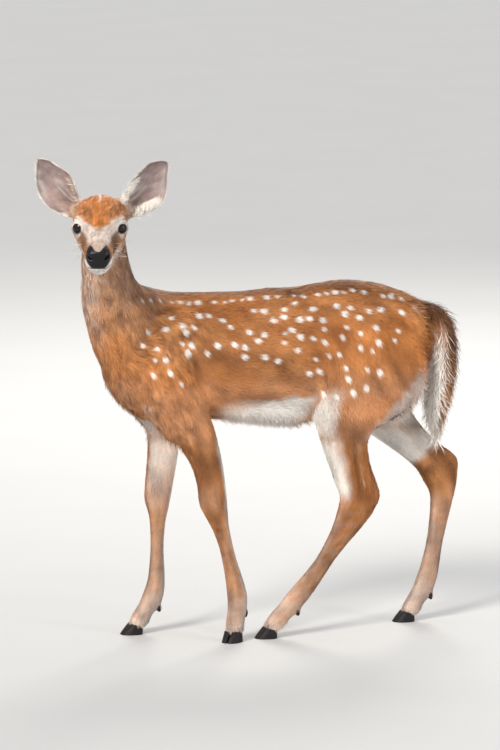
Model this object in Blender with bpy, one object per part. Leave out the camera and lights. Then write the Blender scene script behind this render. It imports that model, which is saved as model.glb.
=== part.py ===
"""White-tailed deer fawn, life size, standing with its head turned to its left.

Metres, +Z up. The fawn faces -X and its left side is at -Y. The floor is z = 0 and the origin is
the middle of the model's box on the floor. The flesh is lofted as tubes, fused by a voxel
remesh, thinned, and parted into named pieces by thin plates and wedges. Ears, eyes and hooves
are pieces of their own, and the dewclaws are part of the feet.
"""

import math

import bmesh
import bpy
from mathutils import Matrix, Vector

# Driving sizes, all out to the tips of the coat.
WITHERS = 0.632  # height over the shoulders
RUMP = 0.647  # height over the hips
GAP = 0.0004  # between neighbouring pieces
VOXEL = 0.004  # the grid that fuses the flesh
BODY_FACES = 3250  # triangles of the flesh in all

HEAD_TURN = math.radians(75.5)  # the head's heading, from -X towards -Y
HEAD_PITCH = math.radians(16.5)  # muzzle below the level
HEAD_ORIGIN = Vector((-0.2755, -0.0085, 0.7810))  # where the skull meets the neck
EYE = Vector((0.1, 0.0335, 0.0125))  # forward, sideways, up from the head's origin
EYE_RADIUS = 0.0140
EAR_ROOT = Vector((0.022, 0.033, 0.0110))
EAR_AXIS = Vector((-0.15, 0.685, 0.71)).normalized()
EAR_BUD = 0.020  # how far the flesh runs up the ear
EAR_LENGTH = 0.110  # from the middle of that to the tip
EAR_WALL = 0.003
HOOF_HEIGHT = 0.0185
HOOF_SLOPE = 0.27  # rise of a hoof's top towards the toe

SIDES = {"left": -1, "right": 1}

COAT_BROWN = (0.36, 0.13, 0.045)
COAT_PALE = (0.80, 0.70, 0.60)
HORN_BLACK = (0.02, 0.019, 0.02)


def clear_scene():
    for obj in list(bpy.data.objects):
        bpy.data.objects.remove(obj)


def material(name, colour, roughness):
    made = bpy.data.materials.get(name)
    if made is None:
        made = bpy.data.materials.new(name)
        made.use_nodes = True
        shader = made.node_tree.nodes["Principled BSDF"]
        shader.inputs["Base Color"].default_value = (*colour, 1)
        shader.inputs["Roughness"].default_value = roughness
        made.diffuse_color = (*colour, 1)
    return made


def finish(obj, name, finish_material):
    """Gives a piece its name, material and smooth shading."""
    obj.name = name
    obj.data.name = name
    obj.data.materials.clear()
    obj.data.materials.append(finish_material)
    obj.data.shade_smooth()
    return obj


def new_object(name, mesh):
    obj = bpy.data.objects.new(name, mesh)
    bpy.context.scene.collection.objects.link(obj)
    return obj


def object_from(name, bm):
    bmesh.ops.recalc_face_normals(bm, faces=bm.faces)
    mesh = bpy.data.meshes.new(name)
    bm.to_mesh(mesh)
    bm.free()
    return new_object(name, mesh)


def bake_modifiers(obj):
    """Keeps the mesh as its modifiers leave it."""
    bpy.context.view_layer.update()
    graph = bpy.context.evaluated_depsgraph_get()
    mesh = bpy.data.meshes.new_from_object(obj.evaluated_get(graph))
    obj.modifiers.clear()
    obj.data = mesh
    return obj


def boolean(obj, cutter, operation):
    """Cuts obj with cutter, which is used up."""
    modifier = obj.modifiers.new("cut", "BOOLEAN")
    modifier.operation = operation
    modifier.object = cutter
    cutter.hide_render = True
    bake_modifiers(obj)
    bpy.data.objects.remove(cutter)
    return obj


def joined(name, objects):
    """One object holding the meshes of several, as separate shells."""
    bm = bmesh.new()
    for obj in objects:
        obj.data.transform(obj.matrix_world)
        bm.from_mesh(obj.data)
        bpy.data.objects.remove(obj)
    mesh = bpy.data.meshes.new(name)
    bm.to_mesh(mesh)
    bm.free()
    return new_object(name, mesh)


def catmull(a, b, c, d, t):
    """A smooth value between b and c."""
    return 0.5 * (
        2 * b
        + (c - a) * t
        + (2 * a - 5 * b + 4 * c - d) * t * t
        + (3 * b - a - 3 * c + d) * t * t * t
    )


def smooth_rows(rows, between):
    """Rows of numbers with more rows put smoothly between them."""
    out = []
    last = len(rows) - 1
    for i in range(last):
        around = [rows[max(0, min(last, k))] for k in (i - 1, i, i + 1, i + 2)]
        for step in range(between):
            out.append([catmull(*four, step / between) for four in zip(*around)])
    out.append(list(rows[-1]))
    return out


def tube(name, rings, heading=(0, 0, 1), sides=28, between=4, squareness=2.15):
    """A closed tube through rings of (x, y, z, plus, minus, half width, turn).

    plus and minus are the half depths along the heading and against it, as it lies across the
    tube's own line. turn swings the heading about Z, in degrees from its start.
    """
    rows = smooth_rows(rings, between)
    bm = bmesh.new()
    loops = []
    power = 2 / squareness
    for i, (x, y, z, plus, minus, half, turn) in enumerate(rows):
        ahead, behind = rows[min(i + 1, len(rows) - 1)], rows[max(i - 1, 0)]
        tangent = (Vector(ahead[:3]) - Vector(behind[:3])).normalized()
        deep = Matrix.Rotation(math.radians(turn), 3, "Z") @ Vector(heading)
        deep = (deep - tangent * deep.dot(tangent)).normalized()
        across = tangent.cross(deep)
        loop = []
        for k in range(sides):
            angle = 2 * math.pi * k / sides
            c, s = math.cos(angle), math.sin(angle)
            reach = plus if c > 0 else minus
            along = math.copysign(abs(c) ** power, c) * reach
            aside = math.copysign(abs(s) ** power, s) * half
            loop.append(bm.verts.new(Vector((x, y, z)) + deep * along + across * aside))
        loops.append(loop)
    for first, second in zip(loops, loops[1:]):
        for k in range(sides):
            n = (k + 1) % sides
            bm.faces.new((first[k], first[n], second[n], second[k]))
    bm.faces.new(loops[0])
    bm.faces.new(list(reversed(loops[-1])))
    return object_from(name, bm)


def ball(name, centre, radii, turn=None, segments=20, rings=12):
    """An ellipsoid; turn is the 3 x 3 rotation of its axes."""
    bm = bmesh.new()
    bmesh.ops.create_uvsphere(bm, u_segments=segments, v_segments=rings, radius=1)
    bmesh.ops.scale(bm, verts=bm.verts, vec=radii)
    if turn is not None:
        bmesh.ops.rotate(bm, verts=bm.verts, matrix=turn)
    bmesh.ops.translate(bm, verts=bm.verts, vec=centre)
    return object_from(name, bm)


# The head's own frame: forward along the muzzle, left, and up through the crown.


def head_axes():
    heading = Vector((-math.cos(HEAD_TURN), -math.sin(HEAD_TURN), 0))
    forward = heading * math.cos(HEAD_PITCH) - Vector((0, 0, math.sin(HEAD_PITCH)))
    left = Vector((0, 0, 1)).cross(heading)
    return Matrix((forward, left, forward.cross(left))).transposed()


HEAD_AXES = head_axes()


def on_head(forward, left, up):
    return HEAD_ORIGIN + HEAD_AXES @ Vector((forward, left, up))


# Flesh


def trunk():
    # along the back: x, top, bottom, half width, height of the widest level
    outline = (
        (-0.276, 0.540, 0.484, 0.016, 0.506),
        (-0.265, 0.575, 0.464, 0.034, 0.506),
        (-0.240, 0.646, 0.438, 0.053, 0.504),
        (-0.200, 0.643, 0.409, 0.063, 0.498),
        (-0.150, WITHERS + 0.002, 0.396, 0.068, 0.490),
        (-0.080, WITHERS, 0.399, 0.074, 0.485),
        (-0.010, 0.631, 0.391, 0.079, 0.480),
        (0.060, 0.636, 0.380, 0.079, 0.480),
        (0.120, 0.643, 0.390, 0.072, 0.500),
        (0.180, RUMP, 0.418, 0.063, 0.530),
        (0.240, 0.640, 0.436, 0.058, 0.545),
        (0.290, 0.620, 0.455, 0.052, 0.550),
        (0.322, 0.596, 0.488, 0.038, 0.548),
        (0.336, 0.577, 0.520, 0.018, 0.550),
    )
    rings = [
        (x, 0, widest, top - widest, widest - bottom, half, 0)
        for x, top, bottom, half, widest in outline
    ]
    return tube("trunk_loft", rings, squareness=2.2)


def neck():
    # up the neck: x, y, z, front, back, half width, turn towards the head's heading
    rings = (
        (-0.162, 0.000, 0.470, 0.050, 0.070, 0.030, 0),
        (-0.196, 0.000, 0.523, 0.077, 0.085, 0.046, 0),
        (-0.224, 0.000, 0.562, 0.076, 0.080, 0.049, 2),
        (-0.243, -0.001, 0.594, 0.066, 0.070, 0.047, 7),
        (-0.259, -0.003, 0.625, 0.057, 0.060, 0.043, 15),
        (-0.267, -0.008, 0.660, 0.050, 0.052, 0.041, 28),
        (-0.272, -0.015, 0.695, 0.045, 0.047, 0.040, 42),
        (-0.276, -0.023, 0.730, 0.042, 0.044, 0.040, 58),
        (-0.279, -0.031, 0.762, 0.038, 0.041, 0.038, 70),
    )
    return tube("neck_loft", rings, heading=(-1, 0, 0))


def head():
    # along the skull: forward, height above and below the axis, half width
    profile = (
        (-0.006, 0.021, 0.024, 0.024),
        (0.008, 0.033, 0.038, 0.034),
        (0.030, 0.0465, 0.048, 0.041),
        (0.055, 0.0565, 0.052, 0.0435),
        (0.078, 0.055, 0.052, 0.0435),
        (0.098, 0.047, 0.050, 0.0415),
        (0.118, 0.036, 0.047, 0.0365),
        (0.140, 0.027, 0.043, 0.0310),
        (0.162, 0.022, 0.041, 0.0275),
        (0.182, 0.019, 0.039, 0.0255),
        (0.196, 0.016, 0.033, 0.0235),
        (0.204, 0.009, 0.018, 0.0180),
    )
    rings = [
        (*on_head(x, 0, 0), top, bottom, half, 0) for x, top, bottom, half in profile
    ]
    shapes = [tube("head_loft", rings, heading=HEAD_AXES.col[2], squareness=2.3)]
    for side in (-1, 1):
        brow = on_head(0.093, 0.036 * side, 0.0245)
        shapes.append(ball("brow", brow, (0.019, 0.0125, 0.0095), HEAD_AXES))
        cheekbone = on_head(0.086, 0.036 * side, -0.003)
        shapes.append(ball("cheekbone", cheekbone, (0.030, 0.0110, 0.0110), HEAD_AXES))
        cheek = on_head(0.064, 0.024 * side, -0.024)
        shapes.append(ball("cheek", cheek, (0.038, 0.0205, 0.027), HEAD_AXES))
        nostril = on_head(0.190, 0.0130 * side, 0.0030)
        shapes.append(ball("nostril", nostril, (0.0135, 0.0105, 0.0125), HEAD_AXES))
        root, axis = ear_root(side), ear_axis(side)
        rings = [
            (*(root + axis * step), wide, wide * 0.85, wide, 0)
            for step, wide in ((-0.016, 0.024), (0.002, 0.0225), (EAR_BUD, 0.0195))
        ]
        shapes.append(tube("ear_bud", rings, heading=HEAD_AXES.col[0]))
    chin = on_head(0.182, 0, -0.0265)
    shapes.append(ball("chin", chin, (0.016, 0.0190, 0.0165), HEAD_AXES))
    return shapes


# Each limb, from its root down: x, z, half depth to the front, to the back, half width, y.
LIMBS = {
    "front_left": (
        (-0.132, 0.600, 0.028, 0.034, 0.012, 0.036),
        (-0.148, 0.530, 0.046, 0.050, 0.026, 0.050),
        (-0.160, 0.465, 0.058, 0.062, 0.032, 0.055),
        (-0.140, 0.415, 0.054, 0.052, 0.032, 0.058),
        (-0.116, 0.382, 0.039, 0.038, 0.029, 0.059),
        (-0.103, 0.351, 0.033, 0.032, 0.0255, 0.059),
        (-0.092, 0.318, 0.029, 0.029, 0.0230, 0.058),
        (-0.086, 0.285, 0.027, 0.027, 0.0215, 0.057),
        (-0.081, 0.256, 0.028, 0.025, 0.0225, 0.056),
        (-0.076, 0.236, 0.023, 0.023, 0.0200, 0.055),
        (-0.069, 0.210, 0.0165, 0.0165, 0.0150, 0.054),
        (-0.058, 0.172, 0.0145, 0.0145, 0.0132, 0.053),
        (-0.048, 0.132, 0.0150, 0.0155, 0.0135, 0.052),
        (-0.041, 0.100, 0.0165, 0.0185, 0.0160, 0.051),
        (-0.036, 0.074, 0.0190, 0.0200, 0.0190, 0.051),
        (-0.039, 0.049, 0.0165, 0.0175, 0.0175, 0.056),
        (-0.044, 0.030, 0.0165, 0.0180, 0.0180, 0.063),
        (-0.048, 0.014, 0.0150, 0.0160, 0.0160, 0.069),
    ),
    "front_right": (
        (-0.136, 0.600, 0.028, 0.034, 0.012, 0.036),
        (-0.152, 0.530, 0.046, 0.050, 0.026, 0.050),
        (-0.172, 0.465, 0.056, 0.060, 0.032, 0.055),
        (-0.160, 0.415, 0.046, 0.050, 0.031, 0.057),
        (-0.148, 0.382, 0.034, 0.034, 0.0280, 0.057),
        (-0.149, 0.336, 0.0295, 0.0295, 0.0245, 0.056),
        (-0.153, 0.305, 0.0280, 0.0280, 0.0225, 0.055),
        (-0.157, 0.275, 0.0270, 0.0270, 0.0215, 0.054),
        (-0.159, 0.250, 0.0265, 0.0235, 0.0225, 0.053),
        (-0.160, 0.230, 0.0205, 0.0195, 0.0195, 0.052),
        (-0.161, 0.206, 0.0152, 0.0152, 0.0150, 0.051),
        (-0.162, 0.170, 0.0140, 0.0140, 0.0132, 0.050),
        (-0.163, 0.125, 0.0148, 0.0155, 0.0135, 0.050),
        (-0.165, 0.093, 0.0165, 0.0185, 0.0160, 0.050),
        (-0.170, 0.069, 0.0190, 0.0200, 0.0190, 0.050),
        (-0.182, 0.047, 0.0165, 0.0170, 0.0175, 0.050),
        (-0.194, 0.030, 0.0165, 0.0180, 0.0180, 0.050),
        (-0.204, 0.014, 0.0150, 0.0160, 0.0160, 0.050),
    ),
    "hind_left": (
        (0.215, 0.605, 0.040, 0.050, 0.012, 0.034),
        (0.218, 0.550, 0.072, 0.092, 0.028, 0.044),
        (0.205, 0.485, 0.088, 0.112, 0.037, 0.052),
        (0.180, 0.432, 0.076, 0.084, 0.039, 0.057),
        (0.166, 0.400, 0.066, 0.062, 0.036, 0.060),
        (0.163, 0.370, 0.052, 0.048, 0.031, 0.060),
        (0.166, 0.345, 0.044, 0.039, 0.0270, 0.060),
        (0.171, 0.318, 0.039, 0.038, 0.0245, 0.059),
        (0.178, 0.292, 0.036, 0.038, 0.0225, 0.058),
        (0.186, 0.270, 0.034, 0.040, 0.0215, 0.057),
        (0.187, 0.248, 0.034, 0.039, 0.0215, 0.056),
        (0.176, 0.220, 0.029, 0.031, 0.0195, 0.055),
        (0.160, 0.190, 0.0225, 0.0235, 0.0165, 0.054),
        (0.139, 0.158, 0.0190, 0.0195, 0.0148, 0.053),
        (0.118, 0.128, 0.0175, 0.0185, 0.0142, 0.052),
        (0.095, 0.097, 0.0180, 0.0195, 0.0155, 0.051),
        (0.072, 0.070, 0.0185, 0.0200, 0.0185, 0.050),
        (0.052, 0.047, 0.0165, 0.0170, 0.0175, 0.049),
        (0.036, 0.030, 0.0165, 0.0175, 0.0180, 0.048),
        (0.024, 0.015, 0.0150, 0.0160, 0.0160, 0.047),
    ),
    "hind_right": (
        (0.217, 0.605, 0.040, 0.050, 0.012, 0.034),
        (0.225, 0.550, 0.072, 0.086, 0.028, 0.044),
        (0.228, 0.485, 0.084, 0.090, 0.037, 0.052),
        (0.244, 0.432, 0.068, 0.070, 0.038, 0.056),
        (0.268, 0.392, 0.052, 0.052, 0.034, 0.058),
        (0.296, 0.358, 0.039, 0.039, 0.0280, 0.058),
        (0.322, 0.332, 0.033, 0.034, 0.0245, 0.058),
        (0.346, 0.310, 0.032, 0.034, 0.0225, 0.057),
        (0.366, 0.288, 0.035, 0.036, 0.0215, 0.056),
        (0.376, 0.263, 0.033, 0.033, 0.0210, 0.056),
        (0.378, 0.238, 0.0245, 0.0245, 0.0190, 0.055),
        (0.375, 0.210, 0.0205, 0.0205, 0.0165, 0.054),
        (0.369, 0.174, 0.0178, 0.0180, 0.0148, 0.053),
        (0.362, 0.137, 0.0170, 0.0178, 0.0142, 0.053),
        (0.355, 0.103, 0.0175, 0.0195, 0.0155, 0.053),
        (0.347, 0.073, 0.0190, 0.0205, 0.0185, 0.053),
        (0.334, 0.048, 0.0165, 0.0170, 0.0175, 0.053),
        (0.322, 0.030, 0.0165, 0.0175, 0.0180, 0.053),
        (0.312, 0.015, 0.0150, 0.0160, 0.0160, 0.053),
    ),
}
# The toes' heading from -X towards -Y, in degrees, and the middle of the two hooves.
FEET = {
    "front_left": (48, (-0.0500, -0.0700)),
    "front_right": (6, (-0.2080, 0.0500)),
    "hind_left": (4, (0.0200, -0.0475)),
    "hind_right": (4, (0.3070, 0.0530)),
}
# Heights at which thin plates part the limbs, and the pieces that they leave, top down.
LEG_TOP = 0.374
LIMB_CUTS = {"front": (0.232, 0.098), "hind": (0.240, 0.098)}
LIMB_PIECES = {
    "front": ("shoulder", "forearm", "shank", "foot"),
    "hind": ("thigh", "gaskin", "shank", "foot"),
}


def limb(name):
    side = SIDES[name.split("_")[1]]
    turn = FEET[name][0]
    rings = [
        (x, y * side, z, fore, aft, half, turn if z < 0.06 else 0)
        for x, z, fore, aft, half, y in LIMBS[name]
    ]
    return tube(name + "_loft", rings, heading=(-1, 0, 0), sides=24)


def tail():
    # down the tail: x, z, half depth, half width
    profile = (
        (0.314, 0.593, 0.016, 0.020),
        (0.338, 0.585, 0.018, 0.026),
        (0.357, 0.562, 0.022, 0.032),
        (0.362, 0.525, 0.026, 0.036),
        (0.360, 0.487, 0.028, 0.038),
        (0.355, 0.448, 0.028, 0.036),
        (0.350, 0.410, 0.024, 0.029),
        (0.349, 0.375, 0.016, 0.019),
        (0.351, 0.343, 0.006, 0.008),
    )
    rings = [(x, 0, z, deep, deep, half, 0) for x, z, deep, half in profile]
    return tube("tail_loft", rings, heading=(1, 0, 0), sides=20, squareness=2)


def fuse(name, shapes, faces):
    """One skin round overlapping shells, smoothed where they meet and thinned."""
    obj = joined(name, shapes)
    grid = obj.modifiers.new("grid", "REMESH")
    grid.mode = "VOXEL"
    grid.voxel_size = VOXEL
    smooth = obj.modifiers.new("smooth", "SMOOTH")
    smooth.factor = 0.5
    smooth.iterations = 10
    bake_modifiers(obj)
    quads = len(obj.data.polygons)
    thin = obj.modifiers.new("thin", "DECIMATE")
    thin.ratio = faces / (2 * quads)
    thin.use_collapse_triangulate = True
    return bake_modifiers(obj)


def swollen(obj, amount):
    """A copy of obj with its surface moved outwards."""
    copy = new_object("swollen", obj.data.copy())
    swell = copy.modifiers.new("swell", "DISPLACE")
    swell.strength = amount
    swell.mid_level = 0
    return bake_modifiers(copy)


# Parting


def plate(centre, normal, reach):
    """A thin square plate across normal, which leaves a gap of GAP where it cuts."""
    bm = bmesh.new()
    turn = Vector(normal).to_track_quat("Z", "X").to_matrix().to_4x4()
    place = Matrix.Translation(centre) @ turn
    bmesh.ops.create_cube(bm, size=1)
    bmesh.ops.scale(bm, verts=bm.verts, vec=(2 * reach, 2 * reach, GAP))
    bmesh.ops.transform(bm, verts=bm.verts, matrix=place)
    return object_from("plate", bm)


def wedge(planes, grow):
    """The solid behind all of the planes (point, outward normal), each moved out by grow."""
    bm = bmesh.new()
    bmesh.ops.create_cube(bm, size=2.4)
    for point, normal in planes:
        normal = Vector(normal).normalized()
        geometry = bm.verts[:] + bm.edges[:] + bm.faces[:]
        cut = bmesh.ops.bisect_plane(
            bm,
            geom=geometry,
            plane_co=Vector(point) + normal * grow,
            plane_no=normal,
            clear_outer=True,
        )
        edges = [e for e in cut["geom_cut"] if isinstance(e, bmesh.types.BMEdge)]
        bmesh.ops.contextual_create(bm, geom=edges)
    return object_from("wedge", bm)


def limb_point(name, height):
    """The limb's middle line at a height, and its direction there."""
    side = SIDES[name.split("_")[1]]
    points = [Vector((x, y * side, z)) for x, z, _, _, _, y in LIMBS[name]]
    for above, below in zip(points, points[1:]):
        if below.z <= height <= above.z:
            share = (above.z - height) / (above.z - below.z)
            return above.lerp(below, share), (below - above).normalized()
    raise ValueError(height)


def limb_plates(name):
    plates = []
    for height, reach in zip(LIMB_CUTS[name.split("_")[0]], (0.052, 0.032)):
        centre, direction = limb_point(name, height)
        plates.append(plate(centre, direction, reach))
    return plates


def root_planes(end, side):
    """The faces of the wedge that holds a shoulder or a thigh, but for its open outer side."""
    keel = (0, -0.010 * side, 0.400)
    steep = (0, side * 0.968, 0.25)
    if end == "front":
        return [
            (keel, steep),
            ((-0.226, 0, 0.470), (-0.91, 0, 0.41)),
            ((-0.066, 0, 0.400), (1, 0, 0.10)),
        ]
    return [(keel, steep), ((0.092, 0, 0.430), (-0.955, 0, 0.295))]


def split_loose(obj):
    """The separate shells of an object, as objects."""
    source = bmesh.new()
    source.from_mesh(obj.data)
    source.verts.ensure_lookup_table()
    shells, seen = [], set()
    for start in source.verts:
        if start.index in seen:
            continue
        shell, queue = {start.index}, [start]
        while queue:
            for edge in queue.pop().link_edges:
                for vert in edge.verts:
                    if vert.index not in shell:
                        shell.add(vert.index)
                        queue.append(vert)
        seen |= shell
        shells.append(shell)
    source.free()
    parts = []
    for shell in shells:
        bm = bmesh.new()
        bm.from_mesh(obj.data)
        loose = [v for v in bm.verts if v.index not in shell]
        bmesh.ops.delete(bm, geom=loose, context="VERTS")
        parts.append(object_from("shell", bm))
    bpy.data.objects.remove(obj)
    return parts


def middle(obj):
    corners = [Vector(c) for c in obj.bound_box]
    return sum(corners, Vector()) / 8


def expected_pieces():
    """Roughly where the middle of each piece lies once the plates have cut."""
    places = {
        "head": on_head(0.10, 0, 0),
        "neck": Vector((-0.255, -0.01, 0.66)),
        "trunk": Vector((0.03, 0, 0.50)),
    }
    for name in LIMBS:
        cuts = (LEG_TOP, *LIMB_CUTS[name.split("_")[0]], 0.02)
        pieces = LIMB_PIECES[name.split("_")[0]][1:]
        for piece, top, bottom in zip(pieces, cuts, cuts[1:]):
            places[f"leg_{name}_{piece}"] = limb_point(name, (top + bottom) / 2)[0]
    return places


def part_flesh(flesh):
    """Cuts the fused flesh into its named pieces."""
    plates = [p for name in LIMBS for p in limb_plates(name)]
    plates.append(plate((0.05, 0, LEG_TOP), (0, 0, 1), 0.6))
    plates.append(plate(on_head(0.027, 0, -0.012), HEAD_AXES @ Vector((0.79, 0, 0.61)), 0.095))
    plates.append(plate((-0.222, 0, 0.556), (-0.80, 0, 0.60), 0.125))
    boolean(flesh, joined("plates", plates), "DIFFERENCE")
    places = expected_pieces()
    pieces = {}
    for shell in split_loose(flesh):
        name = min(places, key=lambda n: (places[n] - middle(shell)).length)
        if name in pieces:
            raise RuntimeError(f"two shells lie at {name}")
        pieces[name] = shell
    for end, piece in (("front", "shoulder"), ("hind", "thigh")):
        for side_name, side in SIDES.items():
            planes = root_planes(end, -side)
            whole = pieces["trunk"]
            root = new_object("root", whole.data.copy())
            boolean(root, wedge(planes, 0), "INTERSECT")
            boolean(whole, wedge(planes, GAP), "DIFFERENCE")
            pieces[f"leg_{end}_{side_name}_{piece}"] = root
    return pieces


# Ears, eyes and feet


def ear_root(side):
    return on_head(EAR_ROOT.x, EAR_ROOT.y * side, EAR_ROOT.z)


def ear_axis(side):
    return HEAD_AXES @ Vector((EAR_AXIS.x, EAR_AXIS.y * side, EAR_AXIS.z))


def ear_shape(s):
    """Arc half length and half curl of the ear's section at share s of its length."""
    taper = max(0, (s - 0.33) / 0.685)
    spread = 0.0400 * (1 - taper**2) ** 0.65
    curl = math.radians(36 + 86 * (1 - s) ** 3.5)
    return spread, curl


def ear(side):
    """A cupped leaf that opens forwards, curled almost shut at its root."""
    bm = bmesh.new()
    axis = ear_axis(side)
    face = HEAD_AXES @ Vector((0.93, 0.30 * side, 0.10))
    face = (face - axis * face.dot(axis)).normalized()
    across = axis.cross(face) * side  # towards the ear's outer edge
    start = ear_root(side) + axis * EAR_BUD * 0.5
    rows, columns = 9, 8
    grid = []
    for i in range(rows + 1):
        s = i / rows
        spread, curl = ear_shape(s)
        radius = spread / curl
        spine = start + axis * (EAR_LENGTH * s) + across * (0.0095 * math.sin(math.pi * min(1, 1.15 * s)))
        spine += face * (-0.004 - 0.010 * math.sin(math.pi * s * 0.8))
        line = []
        for j in range(columns + 1):
            angle = curl * (2 * j / columns - 1)
            offset = across * radius * math.sin(angle) + face * radius * (1 - math.cos(angle))
            line.append(bm.verts.new(spine + offset))
        grid.append(line)
    for i in range(rows):
        for j in range(columns):
            corners = (grid[i][j], grid[i][j + 1], grid[i + 1][j + 1], grid[i + 1][j])
            bm.faces.new(corners)
    obj = object_from("ear", bm)
    wall = obj.modifiers.new("wall", "SOLIDIFY")
    wall.thickness = EAR_WALL
    wall.offset = 0
    return bake_modifiers(obj)


def claw(side):
    """Half a hoof, toe along +X: a pointed D with a flat sole and a sloping top."""
    bm = bmesh.new()
    count = 16
    levels = []
    for share in (0, 0.4, 1):
        loop = []
        for k in range(count):
            angle = 2 * math.pi * k / count
            c, s = math.cos(angle), math.sin(angle)
            long = 0.0235 - 0.0165 * share if c > 0 else 0.0175 - 0.001 * share
            outer = 0.0160 - 0.0020 * share if s > 0 else 0.0015
            pointed = 1 - 0.30 * max(0, c) ** 2 * (1 - share)
            x = long * math.copysign(abs(c) ** 0.85, c) - 0.0015 * share
            y = outer * math.copysign(abs(s) ** 0.8, s) * pointed + 0.0022
            top = HOOF_HEIGHT + HOOF_SLOPE * x
            loop.append(bm.verts.new((x, y * side, share * top)))
        levels.append(loop)
    for low, high in zip(levels, levels[1:]):
        for k in range(count):
            n = (k + 1) % count
            bm.faces.new((low[k], low[n], high[n], high[k]))
    bm.faces.new(levels[0])
    bm.faces.new(levels[-1])
    return object_from("claw", bm)


def hoof(centre, heading):
    """Both claws of a foot, joined by a web high up at the back of the cleft."""
    bm = bmesh.new()
    bmesh.ops.create_cube(bm, size=1)
    bmesh.ops.scale(bm, verts=bm.verts, vec=(0.018, 0.006, 0.006))
    bmesh.ops.translate(bm, verts=bm.verts, vec=(-0.005, 0, 0.0115))
    whole = boolean(claw(1), claw(-1), "UNION")
    boolean(whole, object_from("web", bm), "UNION")
    turn = Matrix.Rotation(math.radians(180 + heading), 4, "Z")
    whole.data.transform(Matrix.Translation((*centre, 0)) @ turn)
    return whole


def hoof_top_plane(centre, heading):
    """The sloping plane just over a foot's two claws."""
    direction = Matrix.Rotation(math.radians(180 + heading), 3, "Z") @ Vector((1, 0, 0))
    normal = Vector((0, 0, 1)) - direction * HOOF_SLOPE
    return Vector((*centre, HOOF_HEIGHT + GAP)), normal.normalized()


def dewclaw(name, side_of_foot):
    """A small blunt horn behind the pastern."""
    heading = FEET[name][0]
    turn = Matrix.Rotation(math.radians(180 + heading), 3, "Z")
    pastern, _ = limb_point(name, 0.052)
    centre = pastern + turn @ Vector((-0.0190, 0.0085 * side_of_foot, -0.004))
    tilt = turn @ Matrix.Rotation(math.radians(24), 3, "Y")
    return ball("dewclaw", centre, (0.0060, 0.0052, 0.0095), tilt, 7, 5)


def feet(pieces):
    """Hooves, with the flesh of each foot cut to them and given its dewclaws."""
    horn = material("hoof_horn", HORN_BLACK, 0.45)
    for name in LIMBS:
        heading, centre = FEET[name]
        foot = pieces[f"leg_{name}_foot"]
        boolean(foot, wedge([hoof_top_plane(centre, heading)], 0), "DIFFERENCE")
        for side in (-1, 1):
            boolean(foot, dewclaw(name, side), "UNION")
        finish(hoof(centre, heading), "hoof_" + name, horn)


def eyes(head_piece):
    wet = material("eye_black", (0.01, 0.008, 0.007), 0.05)
    for name, side in (("left", 1), ("right", -1)):
        centre = on_head(EYE.x, EYE.y * side, EYE.z)
        room = EYE_RADIUS + GAP
        boolean(head_piece, ball("room", centre, (room,) * 3, HEAD_AXES, 16, 9), "DIFFERENCE")
        finish(ball("eye", centre, (EYE_RADIUS,) * 3, HEAD_AXES, 16, 9), "eye_" + name, wet)


def set_origin():
    """Moves every mesh so that the box of them all stands on the floor about the origin."""
    low, high = Vector((9, 9, 9)), Vector((-9, -9, -9))
    for obj in bpy.data.objects:
        for vert in obj.data.vertices:
            low = Vector(map(min, low, vert.co))
            high = Vector(map(max, high, vert.co))
    shift = Vector((-(low.x + high.x) / 2, -(low.y + high.y) / 2, -low.z))
    for obj in bpy.data.objects:
        obj.data.transform(Matrix.Translation(shift))


def main():
    clear_scene()
    brown = material("coat_brown", COAT_BROWN, 0.85)
    pale = material("coat_pale", COAT_PALE, 0.85)
    flesh = fuse("flesh", [trunk(), neck(), *head(), *map(limb, LIMBS)], BODY_FACES)
    ears = {name: ear(side) for name, side in (("left", 1), ("right", -1))}
    for obj in ears.values():
        boolean(obj, swollen(flesh, 2 * GAP), "DIFFERENCE")
    tail_piece = boolean(fuse("tail", [tail()], 240), swollen(flesh, 2 * GAP), "DIFFERENCE")
    pieces = part_flesh(flesh)
    pieces["tail"] = tail_piece
    feet(pieces)
    eyes(pieces["head"])
    for name, obj in pieces.items():
        finish(obj, name, brown)
    for name, obj in ears.items():
        finish(obj, "ear_" + name, pale)
    set_origin()


main()
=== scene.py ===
import math

import bpy
import numpy as np
from mathutils import Matrix, Vector
from mathutils.bvhtree import BVHTree


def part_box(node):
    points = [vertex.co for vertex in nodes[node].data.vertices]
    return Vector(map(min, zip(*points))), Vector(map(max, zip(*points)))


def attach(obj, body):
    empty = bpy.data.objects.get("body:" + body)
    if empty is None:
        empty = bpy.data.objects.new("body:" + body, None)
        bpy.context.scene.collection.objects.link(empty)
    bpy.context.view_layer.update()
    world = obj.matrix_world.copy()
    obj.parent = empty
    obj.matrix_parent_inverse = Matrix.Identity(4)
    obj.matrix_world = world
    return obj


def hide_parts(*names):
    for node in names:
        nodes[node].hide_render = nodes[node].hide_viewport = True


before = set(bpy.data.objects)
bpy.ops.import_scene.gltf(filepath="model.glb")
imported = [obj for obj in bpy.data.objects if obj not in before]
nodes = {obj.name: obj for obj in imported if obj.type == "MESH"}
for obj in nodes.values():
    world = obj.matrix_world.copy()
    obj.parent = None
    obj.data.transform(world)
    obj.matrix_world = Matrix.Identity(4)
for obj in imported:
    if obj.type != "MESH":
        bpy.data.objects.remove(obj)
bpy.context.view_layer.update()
chance = np.random.default_rng(29)
print("frame loaded:", len(nodes), "solids")

# The head's own axes come from the two eyes and the muzzle's dip.
headPlan = {
    "dip": math.radians(16.5),
    "eyeForward": 0.1000,
    "eyeUp": 0.0125,
    "drawnAt": (-0.2755, -0.0085, 0.7810),  # where the part's source puts the skull's base
}


def middleOf(name):
    low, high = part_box(name)
    return (Vector(low) + Vector(high)) / 2


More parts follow.
